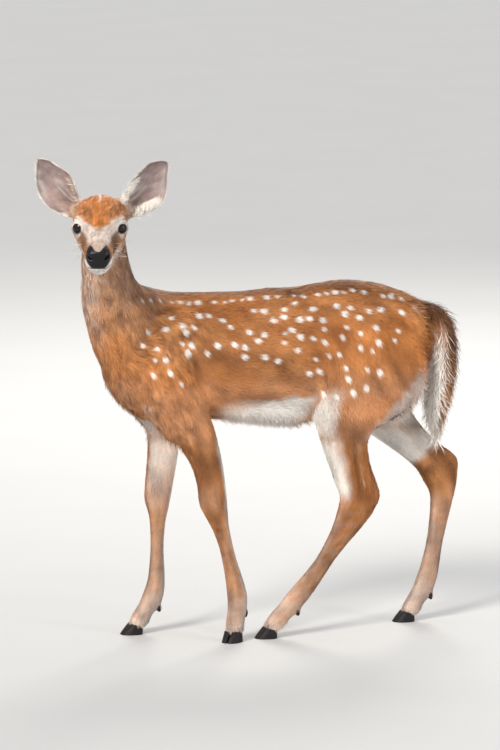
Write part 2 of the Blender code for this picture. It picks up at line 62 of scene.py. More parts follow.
eyeMiddle = {side: middleOf("eye_" + side) for side in ("left", "right")}
headLeft = (eyeMiddle["left"] - eyeMiddle["right"]).normalized()
heading = headLeft.cross(Vector((0, 0, 1))).normalized()
headForward = heading * math.cos(headPlan["dip"]) - Vector((0, 0, math.sin(headPlan["dip"])))
headUp = headForward.cross(headLeft)
headBase = (eyeMiddle["left"] + eyeMiddle["right"]) / 2
headBase -= headForward * headPlan["eyeForward"] + headUp * headPlan["eyeUp"]
shift = headBase - Vector(headPlan["drawnAt"])  # from the source's drawing to the frame
headTurn = np.array((headForward, headLeft, headUp))


def onHead(forward, left, up):
    return headBase + headForward * forward + headLeft * left + headUp * up


def headPlace(points):
    # Forward, left and up, from the skull's base.
    return (points - np.array(headBase)) @ headTurn.T


def drawn(x, y, z):
    return Vector((x, y, z)) + shift


def ramp(low, high, value):
    share = np.clip((value - low) / (high - low), 0, 1)
    return share * share * (3 - 2 * share)


def bump(value, width):
    return np.exp(-((value / width) ** 2))


def unit(rows):
    return rows / np.maximum(np.linalg.norm(rows, axis=-1, keepdims=True), 1e-9)


def dot(a, b):
    return np.sum(a * b, axis=-1)


def selectOnly(*objects):
    bpy.ops.object.select_all(action="DESELECT")
    for obj in objects:
        obj.select_set(True)
    bpy.context.view_layer.objects.active = objects[0]


def applyModifier(obj, kind, **settings):
    modifier = obj.modifiers.new(kind.lower(), kind)
    for name, value in settings.items():
        setattr(modifier, name, value)
    selectOnly(obj)
    bpy.ops.object.modifier_apply(modifier=modifier.name)


def pointsOf(mesh):
    flat = np.empty(len(mesh.vertices) * 3)
    mesh.vertices.foreach_get("co", flat)
    return flat.reshape(-1, 3)


def normalsOf(mesh):
    flat = np.empty(len(mesh.vertices) * 3, dtype=np.float32)
    mesh.vertex_normals.foreach_get("vector", flat)
    return flat.reshape(-1, 3).astype(float)


def trianglesOf(mesh):
    mesh.calc_loop_triangles()
    flat = np.empty(len(mesh.loop_triangles) * 3, dtype=np.int32)
    mesh.loop_triangles.foreach_get("vertices", flat)
    return flat.reshape(-1, 3)


def movePoints(mesh, points):
    mesh.vertices.foreach_set("co", points.astype(np.float32).ravel())
    mesh.update()


def storeVector(mesh, name, rows):
    made = mesh.attributes.new(name, "FLOAT_VECTOR", "POINT")
    made.data.foreach_set("vector", rows.astype(np.float32).ravel())


class Net:
    # The mesh's edges, for spreading values over it.
    def __init__(self, mesh):
        flat = np.empty(len(mesh.edges) * 2, dtype=np.int32)
        mesh.edges.foreach_get("vertices", flat)
        self.first, self.second = flat.reshape(-1, 2).T
        self.count = len(mesh.vertices)
        self.valence = np.bincount(flat, minlength=self.count)

    def spread(self, values, times, share=0.5):
        rows = np.array(values, dtype=float).reshape(self.count, -1)
        for _ in range(times):
            for column in rows.T:
                around = np.bincount(self.first, column[self.second], self.count)
                around += np.bincount(self.second, column[self.first], self.count)
                column += share * (around / self.valence - column)
        return rows.reshape(np.shape(values))


def brushed(values, points, flow, times):
    # Values smeared along the lie of the coat, as locks of hair run.
    run = np.abs(dot(unit(points[net.second] - points[net.first]), flow[net.first])) ** 6 + 0.015
    total = np.bincount(net.first, run, net.count) + np.bincount(net.second, run, net.count)
    for _ in range(times):
        around = np.bincount(net.first, run * values[net.second], net.count)
        around += np.bincount(net.second, run * values[net.first], net.count)
        values = 0.45 * values + 0.55 * around / total
    return np.clip(values / values.std() / 2, -1, 1)


# The coat by place: how deep it stands over the skin, how long and wide a tuft is, and how
# many times over the tufts cover the skin.
coatPlan = {
    "trunk": (0.0060, 0.0200, 0.0011, 6.5),
    "neck": (0.0060, 0.0200, 0.0011, 6.5),
    "shoulder": (0.0050, 0.0170, 0.0010, 6.5),
    "thigh": (0.0055, 0.0180, 0.0011, 6.5),
    "forearm": (0.0032, 0.0115, 0.0009, 5.0),
    "gaskin": (0.0034, 0.0125, 0.0009, 5.0),
    "shank": (0.0016, 0.0080, 0.00075, 4.4),
    "foot": (0.0014, 0.0066, 0.00072, 4.4),
    "head": (0.0026, 0.0085, 0.0008, 5.0),
    "muzzle": (0.0012, 0.0042, 0.0006, 4.0),
    "ear": (0.0008, 0.0085, 0.0008, 3.4),
    "tail": (0.0110, 0.0400, 0.0017, 6.0),
}

skinPlan = {
    "closing": 0.0006,  # how far the solids swell, to meet over their gaps
    "grid": 0.0024,
    "faces": 112000,  # after thinning
    "eyeRadius": 0.0140,
    "eyeCover": 0.0006,
}


def zoneOf(name):
    return name.split("_")[-1] if name.startswith("leg_") else name.split("_")[0]


fleshNames = sorted(n for n in nodes if not n.startswith(("eye_", "hoof_")))
zoneNames = np.array([zoneOf(n) for n in fleshNames])


def fleshCopies():
    # Copies of the flesh solids, joined, with the solid that each face comes from.
    copies, owners = [], []
    for index, name in enumerate(fleshNames):
        obj = bpy.data.objects.new("flesh", nodes[name].data.copy())
        bpy.context.scene.collection.objects.link(obj)
        copies.append(obj)
        owners += [index] * len(obj.data.polygons)
    selectOnly(*copies)
    bpy.ops.object.join()
    flesh = bpy.context.view_layer.objects.active
    flesh.parent = None
    return flesh, np.array(owners)


def treeOf(mesh):
    return BVHTree.FromPolygons(pointsOf(mesh).tolist(), trianglesOf(mesh).tolist())


def depthUnder(tree, points):
    # How far each point lies under a closed surface.
    depth = np.empty(len(points))
    for i, point in enumerate(points.tolist()):
        spot, normal, face, distance = tree.find_nearest(point)
        inside = (Vector(point) - spot).dot(normal) < 0
        depth[i] = distance if inside else -distance
    return depth


def ownersOf(tree, owners, points):
    # The flesh solid that each point belongs to.
    return owners[[tree.find_nearest(point)[2] for point in points.tolist()]]


def keepLargest(obj):
    selectOnly(obj)
    bpy.ops.object.mode_set(mode="EDIT")
    bpy.ops.mesh.select_all(action="SELECT")
    bpy.ops.mesh.separate(type="LOOSE")
    bpy.ops.object.mode_set(mode="OBJECT")
    shells = sorted(bpy.context.selected_objects, key=lambda o: -len(o.data.vertices))
    for shell in shells[1:]:
        bpy.data.objects.remove(shell)
    return shells[0]


def addEyeFills():
    fills = []
    for side in ("left", "right"):
        bpy.ops.object.select_all(action="DESELECT")
        radius = skinPlan["eyeRadius"] + skinPlan["eyeCover"]
        bpy.ops.mesh.primitive_uv_sphere_add(
            segments=32, ring_count=20, radius=radius, location=eyeMiddle[side]
        )
        fill = bpy.context.active_object
        bpy.ops.object.transform_apply(location=True, rotation=True, scale=True)
        fills.append(fill)
    return fills


def thinBody(obj):
    # Fewer faces where the shape is plain; the head and the ears stay fine.
    place = headPlace(pointsOf(obj.data))
    fine = ramp(0.0, 0.03, place[:, 0] + 0.2 * place[:, 2]) * ramp(0.17, 0.14, np.abs(place[:, 1]))
    fine = np.maximum(fine, ramp(0.01, 0.03, place[:, 2]) * (np.abs(place[:, 1]) < 0.17))
    group = obj.vertex_groups.new(name="plain")
    plain = 1 - np.clip(fine, 0, 1)
    for level in range(11):
        chosen = np.nonzero(np.round(plain * 10) == level)[0]
        if level and len(chosen):
            group.add(chosen.tolist(), level / 10, "REPLACE")
    total = sum(len(p.vertices) - 2 for p in obj.data.polygons)
    applyModifier(
        obj, "DECIMATE", ratio=skinPlan["faces"] / total, vertex_group="plain",
        vertex_group_factor=1.0, use_collapse_triangulate=True,
    )
    obj.vertex_groups.clear()


def eyeAxes(side):
    # Out of the eye, towards its front corner, and up its lids.
    sign = 1 if side == "left" else -1
    out = (headForward * 0.46 + headLeft * 0.88 * sign + headUp * 0.19).normalized()
    front = headForward * 0.88 - headLeft * 0.46 * sign + headUp * 0.12
    front = (front - out * front.dot(out)).normalized()
    lid = out.cross(front) * sign
    return np.array((out, front, lid))


eyePlan = {
    "halfLong": math.radians(33),
    "turn": math.radians(30),  # how far the opening's middle lies towards the nose
    "above": math.radians(30),
    "below": math.radians(27),
    "lidThick": 0.0016,
    "sunk": 0.0018,
    "lidWide": 0.85,  # how far the lid runs out, in the opening's own measure
    "ringFrom": 0.0200,  # from how far off the eye's middle the lids count as further
    "ringFade": 0.0030,
}


def eyeOpening(side, points):
    # Below 0 inside the lids' opening, then the distance from the eye's middle and the rise.
    away = points - np.array(eyeMiddle[side])
    radius = np.linalg.norm(away, axis=1)
    out, front, lid = (away @ eyeAxes(side).T).T
    along = np.arctan2(front, out)
    rise = np.arcsin(np.clip(lid / np.maximum(radius, 1e-6), -1, 1))
    high = np.where(rise > 0, eyePlan["above"], eyePlan["below"])
    reach = np.abs((along - eyePlan["turn"]) / eyePlan["halfLong"])
    opening = np.sqrt((rise / high) ** 2 + reach**2.3) - 1
    opening[out < 0.002] = 9
    return opening, radius, rise


def lidRing(points):
    # How far each point lies outside the nearer eye's lids.
    rings = []
    for side in ("left", "right"):
        opening, radius, rise = eyeOpening(side, points)
        rings.append(opening + np.maximum(radius - eyePlan["ringFrom"], 0) / eyePlan["ringFade"])
    return np.minimum(*rings)


def fineFaces(obj, chooser):
    # Splits the faces whose middles the chooser picks.
    mesh = obj.data
    middles = np.empty(len(mesh.polygons) * 3)
    mesh.polygons.foreach_get("center", middles)
    chosen = chooser(middles.reshape(-1, 3))
    selectOnly(obj)
    bpy.ops.object.mode_set(mode="EDIT")
    bpy.ops.mesh.select_mode(type="FACE")
    bpy.ops.mesh.select_all(action="DESELECT")
    bpy.ops.object.mode_set(mode="OBJECT")
    mesh.polygons.foreach_set("select", chosen)
    bpy.ops.object.mode_set(mode="EDIT")
    bpy.ops.mesh.subdivide(number_cuts=1, smoothness=0)
    bpy.ops.mesh.select_all(action="SELECT")
    bpy.ops.mesh.quads_convert_to_tris()
    bpy.ops.mesh.select_all(action="DESELECT")
    bpy.ops.object.mode_set(mode="OBJECT")


finePlan = {
    "eye": (0.026, 0.0205),  # how near an eye faces are split once, and once more
    "soft": 0.024,  # how near an eye the coat thins out
}


def nearEyes(points, reach):
    eyes = [np.linalg.norm(points - np.array(eyeMiddle[s]), axis=1) for s in eyeMiddle]
    return np.minimum(*eyes) < reach


def faceFront(points):
    forward, left, up = headPlace(points).T
    nose = (forward > 0.140) & (np.abs(left) < 0.05) & (np.abs(up) < 0.06)
    return nose | nearEyes(points, finePlan["eye"][0])


def faceFinest(points):
    forward, left, up = headPlace(points).T
    nose = (forward > 0.178) & (np.abs(left) < 0.04) & (up > -0.034)
    return nose | nearEyes(points, finePlan["eye"][1])


def makeSkin():
    flesh, owners = fleshCopies()
    fleshTree = treeOf(flesh.data)
    selectOnly(flesh)
    bpy.ops.object.mode_set(mode="EDIT")
    bpy.ops.mesh.select_all(action="SELECT")
    bpy.ops.mesh.remove_doubles(threshold=0.00001)
    bpy.ops.object.mode_set(mode="OBJECT")
    applyModifier(flesh, "DISPLACE", strength=skinPlan["closing"], mid_level=0)
    fills = addEyeFills()
    selectOnly(flesh, *fills)
    bpy.ops.object.join()
    applyModifier(flesh, "REMESH", mode="VOXEL", voxel_size=skinPlan["grid"])
    skin = keepLargest(flesh)
    print("skin grid:", len(skin.data.vertices), "points")
    outline = treeOf(skin.data)
    thinBody(skin)
    movePoints(skin.data, Net(skin.data).spread(pointsOf(skin.data), 6))
    print("skin thinned:", len(skin.data.polygons), "faces")
    fineFaces(skin, faceFront)
    fineFaces(skin, faceFinest)
    skin.name = skin.data.name = "skin"
    print("skin refined:", len(skin.data.polygons), "faces")
    movePoints(skin.data, Net(skin.data).spread(pointsOf(skin.data), 3))
    return skin, outline, fleshTree, owners


skin, outline, fleshTree, fleshOwners = makeSkin()
net = Net(skin.data)


def layZones(points, owner):
    # Per point, the coat plan's four numbers, spread so that they change gently.
    table = np.array([coatPlan[zone] for zone in zoneNames.tolist()])
    muzzle = np.array(coatPlan["muzzle"])
    share = ramp(0.085, 0.165, headPlace(points)[:, 0]) * (zoneNames[owner] == "head")
    rows = table[owner] * (1 - share[:, None]) + muzzle * share[:, None]
    rows = net.spread(rows, 30)
    onEar = zoneNames[owner] == "ear"
    rows[onEar, 0] = np.minimum(rows[onEar, 0], coatPlan["ear"][0])
    return rows


def setSkinUnder():
    # The skin goes under the solids' surface by the depth of the coat.
    owner = ownersOf(fleshTree, fleshOwners, pointsOf(skin.data))
    zones = layZones(pointsOf(skin.data), owner)
    for _ in range(2):
        points = pointsOf(skin.data)
        wanted = zones[:, 0] * (1 - 0.7 * nearEyes(points, finePlan["soft"])) + skinPlan["closing"]
        step = net.spread(wanted - depthUnder(outline, points), 12)
        points = points - normalsOf(skin.data) * np.clip(step, -0.012, 0.012)[:, None]
        movePoints(skin.data, net.spread(points, 2, 0.4))
    return owner, zones


owner, zones = setSkinUnder()
print("skin set under the coat")

# The face is shaped by small moves in the head's own measures.
nosePlan = {
    "front": 0.1952,  # where the bare pad starts on the middle line, less its height's share
    "wing": 0.0215,  # how much further back it starts over the nostrils
    "halfWide": 0.0222,
    "foot": -0.0232,  # how low its rounded foot would reach
    "nostril": (0.0156, -0.0022),  # sideways, up
    "nostrilLong": 0.0062,
    "nostrilHigh": 0.0036,
    "nostrilDeep": 0.0060,
}
mouthPlan = {"front": -0.0225, "corner": 0.1450, "deep": 0.0016, "wide": 0.0013}


def mouthHeight(forward):
    back = ramp(0.195, mouthPlan["corner"], forward)
    return mouthPlan["front"] - 0.0035 * back + 0.0020 * bump(forward - 0.176, 0.010)


def nosePad(forward, left, up):
    # 1 on the bare nose.
    across = np.abs(left)
    start = nosePlan["front"] - nosePlan["wing"] * bump(across - 0.0142, 0.0062)
    pad = ramp(-0.0012, 0.0012, forward - 0.8 * up - start) * ramp(0.170, 0.173, forward)
    low = np.clip((-0.0030 - up) / (-0.0030 - nosePlan["foot"]), 0, 1)
    wide = nosePlan["halfWide"] * np.sqrt(1 - low**2)
    pad = pad * ramp(wide + 0.0004, wide - 0.0014, across)
    return pad * ramp(-0.0006, 0.0008, up - mouthHeight(forward))


def nostril(left, up):
    # A comma that opens outwards and curls up at its outer end.
    across = np.abs(left)
    sideways, rise = nosePlan["nostril"]
    along = (across - sideways) / nosePlan["nostrilLong"]
    high = (up - rise - 0.0026 * along - 0.0014 * along**2) / nosePlan["nostrilHigh"]
    return np.exp(-(along**2) * 1.2 - high**2 * 1.4)


def shapeEyes(points):
    radius0 = skinPlan["eyeRadius"]
    for side in ("left", "right"):
        opening, radius, rise = eyeOpening(side, points)
        near = (opening < 4) & (radius < 0.036)
        lid = radius0 + eyePlan["lidThick"] * (1 - ramp(0.25, 3.2, opening))
        share = 1 - ramp(0.05, eyePlan["lidWide"], opening)
        outer = np.maximum(radius, lid) * (1 - share) + lid * share
        outer = outer - 0.0007 * bump(opening - 0.60, 0.13) * (rise > 0)  # the upper lid's fold
        inner = radius0 - eyePlan["sunk"]
        wanted = inner + (outer - inner) * ramp(-0.05, 0.03, opening)
        middle = np.array(eyeMiddle[side])
        scale = np.where(near, wanted / np.maximum(radius, 1e-6), 1)
        points = middle + (points - middle) * scale[:, None]
        outside = near & (opening > 0.12)
        points[outside] = net.spread(points, 4)[outside]
    return points


def tearDuct(points):
    # The groove that runs down from the front corner of the eye.
    deep = np.zeros(len(points))
    for side, sign in (("left", 1), ("right", -1)):
        start = headPlace(np.array([eyeMiddle[side]]))[0] + np.array((0.0142, 0.0004 * sign, 0.0002))
        line = unit(np.array((0.90, -0.28 * sign, -0.34)))
        away = headPlace(points) - start
        along = away @ line
        off = np.linalg.norm(away - along[:, None] * line, axis=1)
        deep += bump(off, 0.0022) * ramp(-0.003, 0.001, along) * ramp(0.013, 0.005, along)
    return deep


def shapeFace(points):
    place = headPlace(points)
    forward, left, up = place.T
    isHead = zoneNames[owner] == "head"
    tip = ramp(0.160, 0.186, forward) * isHead
    soft = headPlace(net.spread(points, 95))
    place = place + (soft - place) * tip[:, None]  # rounds the muzzle's end
    place[:, 0] += 0.0030 * tip
    place[:, 2] -= 0.0024 * tip * ramp(0.004, -0.012, up)
    forward, left, up = place.T
    across = np.abs(left)
    pad = nosePad(forward, left, up)
    hole = nostril(left, up) * ramp(0.176, 0.186, forward) * isHead
    place[:, 0] += 0.0010 * pad - nosePlan["nostrilDeep"] * hole
    place[:, 1] -= np.sign(left) * 0.0022 * hole
    rim = bump(nostril(left, up) - 0.28, 0.16) * ramp(0.172, 0.182, forward) * isHead
    place[:, 0] += 0.0009 * rim
    groove = bump(left, 0.0011) * ramp(0.192, 0.198, forward) * ramp(0.002, -0.006, up)
    place[:, 0] -= 0.0011 * groove * ramp(-0.021, -0.018, up) * isHead
    gap = up - mouthHeight(forward)
    line = bump(gap, mouthPlan["wide"]) * ramp(mouthPlan["corner"], 0.152, forward) * isHead
    pull = (-ramp(0.188, 0.198, forward), -np.sign(left) * ramp(0, 0.010, across), 0 * left)
    inward = unit(np.stack(pull, 1))
    place += inward * (mouthPlan["deep"] * line)[:, None]
    lips = bump(gap - 0.0036, 0.0022) + 0.8 * bump(gap + 0.0034, 0.0022)
    place -= inward * (0.0006 * lips * ramp(0.146, 0.158, forward) * isHead)[:, None]
    below = ramp(-0.0012, -0.0060, gap) * ramp(0.176, 0.192, forward) * isHead
    place[:, 0] -= 0.0032 * below  # the lower jaw ends short of the nose
    moved = np.array(headBase) + place @ headTurn
    moved = moved - normalsOf(skin.data) * (0.0011 * tearDuct(points))[:, None]
    return moved


earPlan = {
    "root": (0.022, 0.033, 0.0110),
    "axis": (-0.15, 0.685, 0.71),
    "face": (0.93, 0.30, 0.10),
    "start": 0.010,
    "length": 0.110,
    "tip": {1: (0.0036, 0.0060), -1: (-0.0026, 0.0056)},  # how far each tip reaches out, and up
    # How much fuller one edge of each is, where along the ear, and over what reach.
    "bulge": {1: (0.0050, 0.50, 0.22), -1: (0.0085, 0.49, 0.20)},
}


def earAxes(sign):
    # Where the open ear starts, then its length, its open face, and its outer edge.
    mirror = Vector((1, sign, 1))
    local = [Vector(earPlan[k]) * mirror for k in ("root", "axis", "face")]
    axis = headTurn.T @ np.array(local[1].normalized())
    face = headTurn.T @ np.array(local[2])
    face = unit(face - axis * np.dot(face, axis))
    edge = np.cross(axis, face) * sign
    root = np.array(onHead(*local[0])) + axis * earPlan["start"]
    return root, axis, face, edge


def earHalfWide(s):
    taper = np.clip((s - 0.33) / 0.685, 0, 1)
    spread = 0.0400 * np.maximum(1 - taper**2, 0.001) ** 0.65
    curl = np.radians(36 + 86 * np.clip(1 - s, 0, 1) ** 3.5)
    return spread / curl * np.sin(np.minimum(curl, np.pi / 2))


def earBulge(sign, s):
    # The left ear is fuller at its outer edge, and the right one at its inner edge.
    high, middle, reach = earPlan["bulge"][sign]
    return high * bump(s - middle, reach)


def earPlace(points, isEar):
    # The share along the ear, and the share across it towards its outer edge.
    s = np.full(len(points), -1.0)
    t = np.zeros(len(points))
    for sign in (1, -1):
        root, axis, face, edge = earAxes(sign)
        mine = (headPlace(points)[:, 1] * sign > 0) & isEar
        away = points[mine] - root
        share = away @ axis / earPlan["length"]
        middle = 0.0095 * np.sin(np.pi * np.clip(1.15 * share, 0, 1))
        middle = middle + earPlan["tip"][sign][0] * ramp(0.78, 1.0, share)
        across = away @ edge - middle
        s[mine] = share
        t[mine] = across / (earHalfWide(share) + earBulge(sign, share) * (across * sign > 0))
    return s, t


def smoothEarRoots(points):
    # The ears run into the head without a step.
    for sign in (1, -1):
        root, axis, face, edge = earAxes(sign)
        away = points - root
        along = away @ axis
        near = ramp(0.036, 0.022, np.linalg.norm(away - 0.006 * axis, axis=1)) * ramp(-0.03, -0.01, along)
        points = points + (net.spread(points, 14) - points) * near[:, None]
    return points


def shapeEars(points, normals):
    # Ridges of gristle run up the open face, with a hollow at its foot.
    isEar = zoneNames[owner] == "ear"
    s, t = earPlace(points, isEar)
    left = headPlace(points)[:, 1]
    face = np.where(left > 0, normals @ earAxes(1)[2], normals @ earAxes(-1)[2])
    rise = 0.0015 * bump(t + 0.40 - 0.25 * s, 0.10) * ramp(0.02, 0.12, s) * ramp(0.72, 0.40, s)
    rise += 0.0013 * bump(t + 0.02 + 0.10 * s, 0.085) * ramp(0.10, 0.18, s) * ramp(0.60, 0.35, s)
    rise += 0.0012 * bump(t - 0.38, 0.085) * ramp(0.06, 0.14, s) * ramp(0.44, 0.26, s)
    rise -= 0.0016 * bump(s - 0.15, 0.13) * ramp(0.85, 0.5, np.abs(t))
    rise *= ramp(0.10, 0.45, face) * isEar
    moved = points + normals * rise[:, None]
    for sign in (1, -1):
        root, axis, face, edge = earAxes(sign)
        mine = isEar & (left * sign > 0)
        out, up = earPlan["tip"][sign]
        fuller = earBulge(sign, s) * ramp(0.1, 0.9, t * sign) * sign + out * ramp(0.78, 1.0, s)
        corner = up * ramp(0.80, 1.0, s) * ramp(-1.2, 0.6, t)
        moved += edge * (fuller * mine)[:, None] + axis * (corner * mine)[:, None]
        foot = np.array(onHead(0.020, 0.058 * sign, 0.030))
        near = bump(np.linalg.norm(points - foot, axis=1), 0.0145)  # the ear's foot swells downwards
        moved += (edge * 0.0030 - headTurn[2] * 0.0062) * near[:, None]
    return moved


# Grooves between muscles, bones and tendons: whose, where from and to (x, z), how wide and deep.
grooves = (
    ("leg_hind_left", (0.166, 0.398), (0.179, 0.322), 0.0058, 0.0040),
    ("leg_hind_left", (0.174, 0.345), (0.190, 0.258), 0.0044, 0.0042),
    ("leg_hind_right", (0.312, 0.352), (0.369, 0.292), 0.0050, 0.0032),
    ("leg_front_left", (-0.060, 0.198), (-0.041, 0.112), 0.0032, 0.0013),
    ("leg_front_right", (-0.157, 0.198), (-0.160, 0.105), 0.0032, 0.0013),
    ("leg_hind_left", (0.166, 0.190), (0.100, 0.095), 0.0034, 0.0014),
    ("leg_hind_right", (0.379, 0.212), (0.359, 0.108), 0.0034, 0.0014),
    ("leg_front_left", (-0.094, 0.300), (-0.083, 0.262), 0.0060, 0.0016),
    ("leg_front_right", (-0.151, 0.290), (-0.156, 0.256), 0.0060, 0.0016),
    ("body", (0.094, 0.535), (0.091, 0.446), 0.0110, 0.0036),
    ("body", (-0.140, 0.536), (-0.070, 0.452), 0.0100, 0.0034),
    ("body", (-0.222, 0.560), (-0.224, 0.470), 0.0110, 0.0030),
    ("body", (0.262, 0.540), (0.240, 0.440), 0.0120, 0.0022),
)
# Bony points: whose, where (x, z), reach, how far they stand out.
knobs = (
    ("leg_hind_left", (0.224, 0.254), 0.013, 0.0034),
    ("leg_hind_right", (0.400, 0.298), 0.017, 0.0085),
    ("trunk", (0.045, 0.650), 0.045, 0.0034),
    ("trunk", (0.095, 0.656), 0.050, 0.0064),
    ("trunk", (0.170, 0.668), 0.060, 0.0040),
    ("leg_front_left", (-0.104, 0.252), 0.014, 0.0014),
    ("leg_front_right", (-0.182, 0.248), 0.014, 0.0014),
)
# Where the shin is at its thinnest: whose, height, reach, how much is taken off.
shins = (
    ("leg_front_left", 0.160, 0.030, 0.0010),
    ("leg_front_right", 0.155, 0.030, 0.0010),
    ("leg_hind_left", 0.140, 0.034, 0.0018),
    ("leg_hind_right", 0.150, 0.036, 0.0014),
)


def shapeLimbs(points, normals):
    x, y, z = (points - np.array(shift)).T
    names = np.array(fleshNames)[owner]
    sideways = np.abs(normals[:, 1])
    rise = np.zeros(len(points))
    for whose, (x0, z0), (x1, z1), wide, deep in grooves:
        mine = np.char.startswith(names, "leg_" if whose == "body" else whose)
        if whose == "body":
            mine = (mine | (names == "trunk") | (names == "neck")) & (z > 0.40)
        run = np.array((x1 - x0, z1 - z0))
        share = np.clip(((x - x0) * run[0] + (z - z0) * run[1]) / (run @ run), 0, 1)
        off = np.hypot(x - x0 - share * run[0], z - z0 - share * run[1])
        ends = ramp(0, 0.2, share) * ramp(1, 0.8, share)
        rise -= deep * bump(off, wide) * ends * ramp(0.25, 0.7, sideways) * mine
    for whose, (x0, z0), reach, high in knobs:
        rise += high * bump(np.hypot(x - x0, z - z0), reach) * np.char.startswith(names, whose)
    for whose, height, reach, deep in shins:
        rise -= deep * bump(z - height, reach) * np.char.startswith(names, whose)
    return points + normals * rise[:, None], np.clip(-rise / 0.0042, 0, 1)


moved, creaseShade = shapeLimbs(pointsOf(skin.data), normalsOf(skin.data))
movePoints(skin.data, moved)
movePoints(skin.data, shapeEars(pointsOf(skin.data), normalsOf(skin.data)))
movePoints(skin.data, smoothEarRoots(pointsOf(skin.data)))
movePoints(skin.data, shapeFace(pointsOf(skin.data)))
movePoints(skin.data, shapeEyes(pointsOf(skin.data)))
print("face and ears shaped")

# The lie of the coat, as directions in the frame.
# Each leg's pieces point the way that the limb runs.
flowPlan = {
    "trunk": (1, 0, -0.30),
    "neck": (0.22, 0.05, -1),
    "tail": (0.06, 0, -1),
    "leg_front_left_shoulder": (0.55, 0, -0.85),
    "leg_front_right_shoulder": (0.50, 0, -0.85),
    "leg_front_left_forearm": (0.26, 0, -1),
    "leg_front_right_forearm": (0.00, 0, -1),
    "leg_front_left_shank": (0.24, 0, -1),
    "leg_front_right_shank": (0.00, 0, -1),
    "leg_front_left_foot": (-0.08, -0.20, -1),
    "leg_front_right_foot": (-0.45, 0, -0.9),
    "leg_hind_left_thigh": (0.45, 0, -0.9),
    "leg_hind_right_thigh": (0.60, 0, -0.8),
    "leg_hind_left_gaskin": (0.25, 0, -1),
    "leg_hind_right_gaskin": (0.70, 0, -0.72),
    "leg_hind_left_shank": (-0.55, 0, -0.84),
    "leg_hind_right_shank": (-0.12, 0, -1),
    "leg_hind_left_foot": (-0.60, 0, -0.8),
    "leg_hind_right_foot": (-0.42, 0, -0.9),
}


def towards(share, rows, direction):
    goal = np.array(direction, dtype=float)
    return rows * (1 - share[:, None]) + goal / np.linalg.norm(goal) * share[:, None]


def layFlow(points, normals):
    forward, left, up = headPlace(points).T
    x, y, z = (points - np.array(shift)).T
    table = np.array([flowPlan.get(n, (0, 0, -1)) for n in fleshNames], dtype=float)
    flow = unit(table[owner])
    names = zoneNames[owner]
    trunk = (names == "trunk").astype(float)
    flow = towards(trunk * ramp(0.24, 0.315, x), flow, (0.35, 0, -1))
    flow = towards(trunk * ramp(-0.21, -0.26, x), flow, (0.25, 0, -1))
    flow = towards(trunk * ramp(-0.3, -0.9, normals[:, 2]), flow, (1, 0, 0))
    neck = (names == "neck").astype(float)
    flow = towards(neck * ramp(0.62, 0.55, z), flow, (0.50, 0, -0.9))
    tail = (names == "tail").astype(float)
    flow = towards(tail * ramp(0.555, 0.585, z), flow, (0.8, 0, -0.6))
    head = names == "head"
    back = -headTurn[0] - headTurn[2] * (0.30 * ramp(0.0, -0.02, up))[:, None]
    back = back + headTurn[1] * (np.sign(left) * 0.35 * ramp(0.02, 0.035, np.abs(left)))[:, None]
    flow[head] = unit(back)[head]
    for sign in (1, -1):
        ear = (names == "ear") & (left * sign > 0)
        flow[ear] = earAxes(sign)[1]
    flow = net.spread(unit(flow), 25)
    return combed(flow, normals)


def combed(flow, normals):
    # The part of a direction that lies along the surface.
    return unit(flow - normals * dot(flow, normals)[:, None])


def carried(points, flow, lengths):
    # Where each point gets to when it follows the coat for half its hair's length, and for all.
    surface = treeOf(skin.data)
    ends = []
    reached, way = points, flow
    for _ in range(2):
        goal = reached + way * (lengths / 2)[:, None]
        hits = [surface.find_nearest(g) for g in goal.tolist()]
        reached = 0.3 * goal + 0.7 * np.array([h[0] for h in hits])
        way = combed(way, np.array([h[1] for h in hits]))
        ends.append(reached - points)
    return ends


points, normals = pointsOf(skin.data), normalsOf(skin.data)
flow = layFlow(points, normals)
middles, tips = carried(points, flow, zones[:, 1])
locks = brushed(chance.normal(size=len(points)), points, flow, 16)  # light and dark locks
strands = brushed(chance.normal(size=len(points)), points, flow, 5)  # the finest ones
swirls = brushed(chance.normal(size=len(points)), points, flow, 30)  # locks that turn aside
print("coat combed")

# Rows of spots: height, first and last x, how many, and a stretch that has none.
spotRows = (
    (0.629, -0.205, 0.040, 16, None),
    (0.641, 0.055, 0.235, 12, None),
    (0.613, 0.255, 0.300, 3, None),
    (0.605, -0.178, 0.275, 15, (-0.150, -0.010)),
    (0.585, -0.165, 0.265, 17, (-0.060, -0.030)),
    (0.564, -0.200, 0.250, 16, (-0.095, -0.060)),
    (0.543, -0.208, 0.252, 16, (-0.075, -0.050)),
    (0.520, -0.192, 0.215, 15, (-0.080, -0.050)),
    (0.494, -0.192, 0.225, 13, (-0.125, 0.060)),
    (0.465, -0.140, 0.195, 10, (-0.120, 0.115)),
    (0.445, 0.115, 0.170, 3, None),
)
spotPlan = {
    "reach": 0.0105,  # how far a spot strays from its row's even steps
    "small": 0.0036,  # radii
    "large": 0.0060,
    "stretch": 1.1,
    "soft": 0.0022,
    "apart": 0.0135,
    "seed": 11,
    "backFrom": 0.61,  # rows above this height lie over the edge of the back
    "backStray": 0.35,  # what is left of their reach
    "backOut": 0.030,
    "withers": (-0.15, 0.55, 0.85),  # an x, and the shares of their size before and after it
}


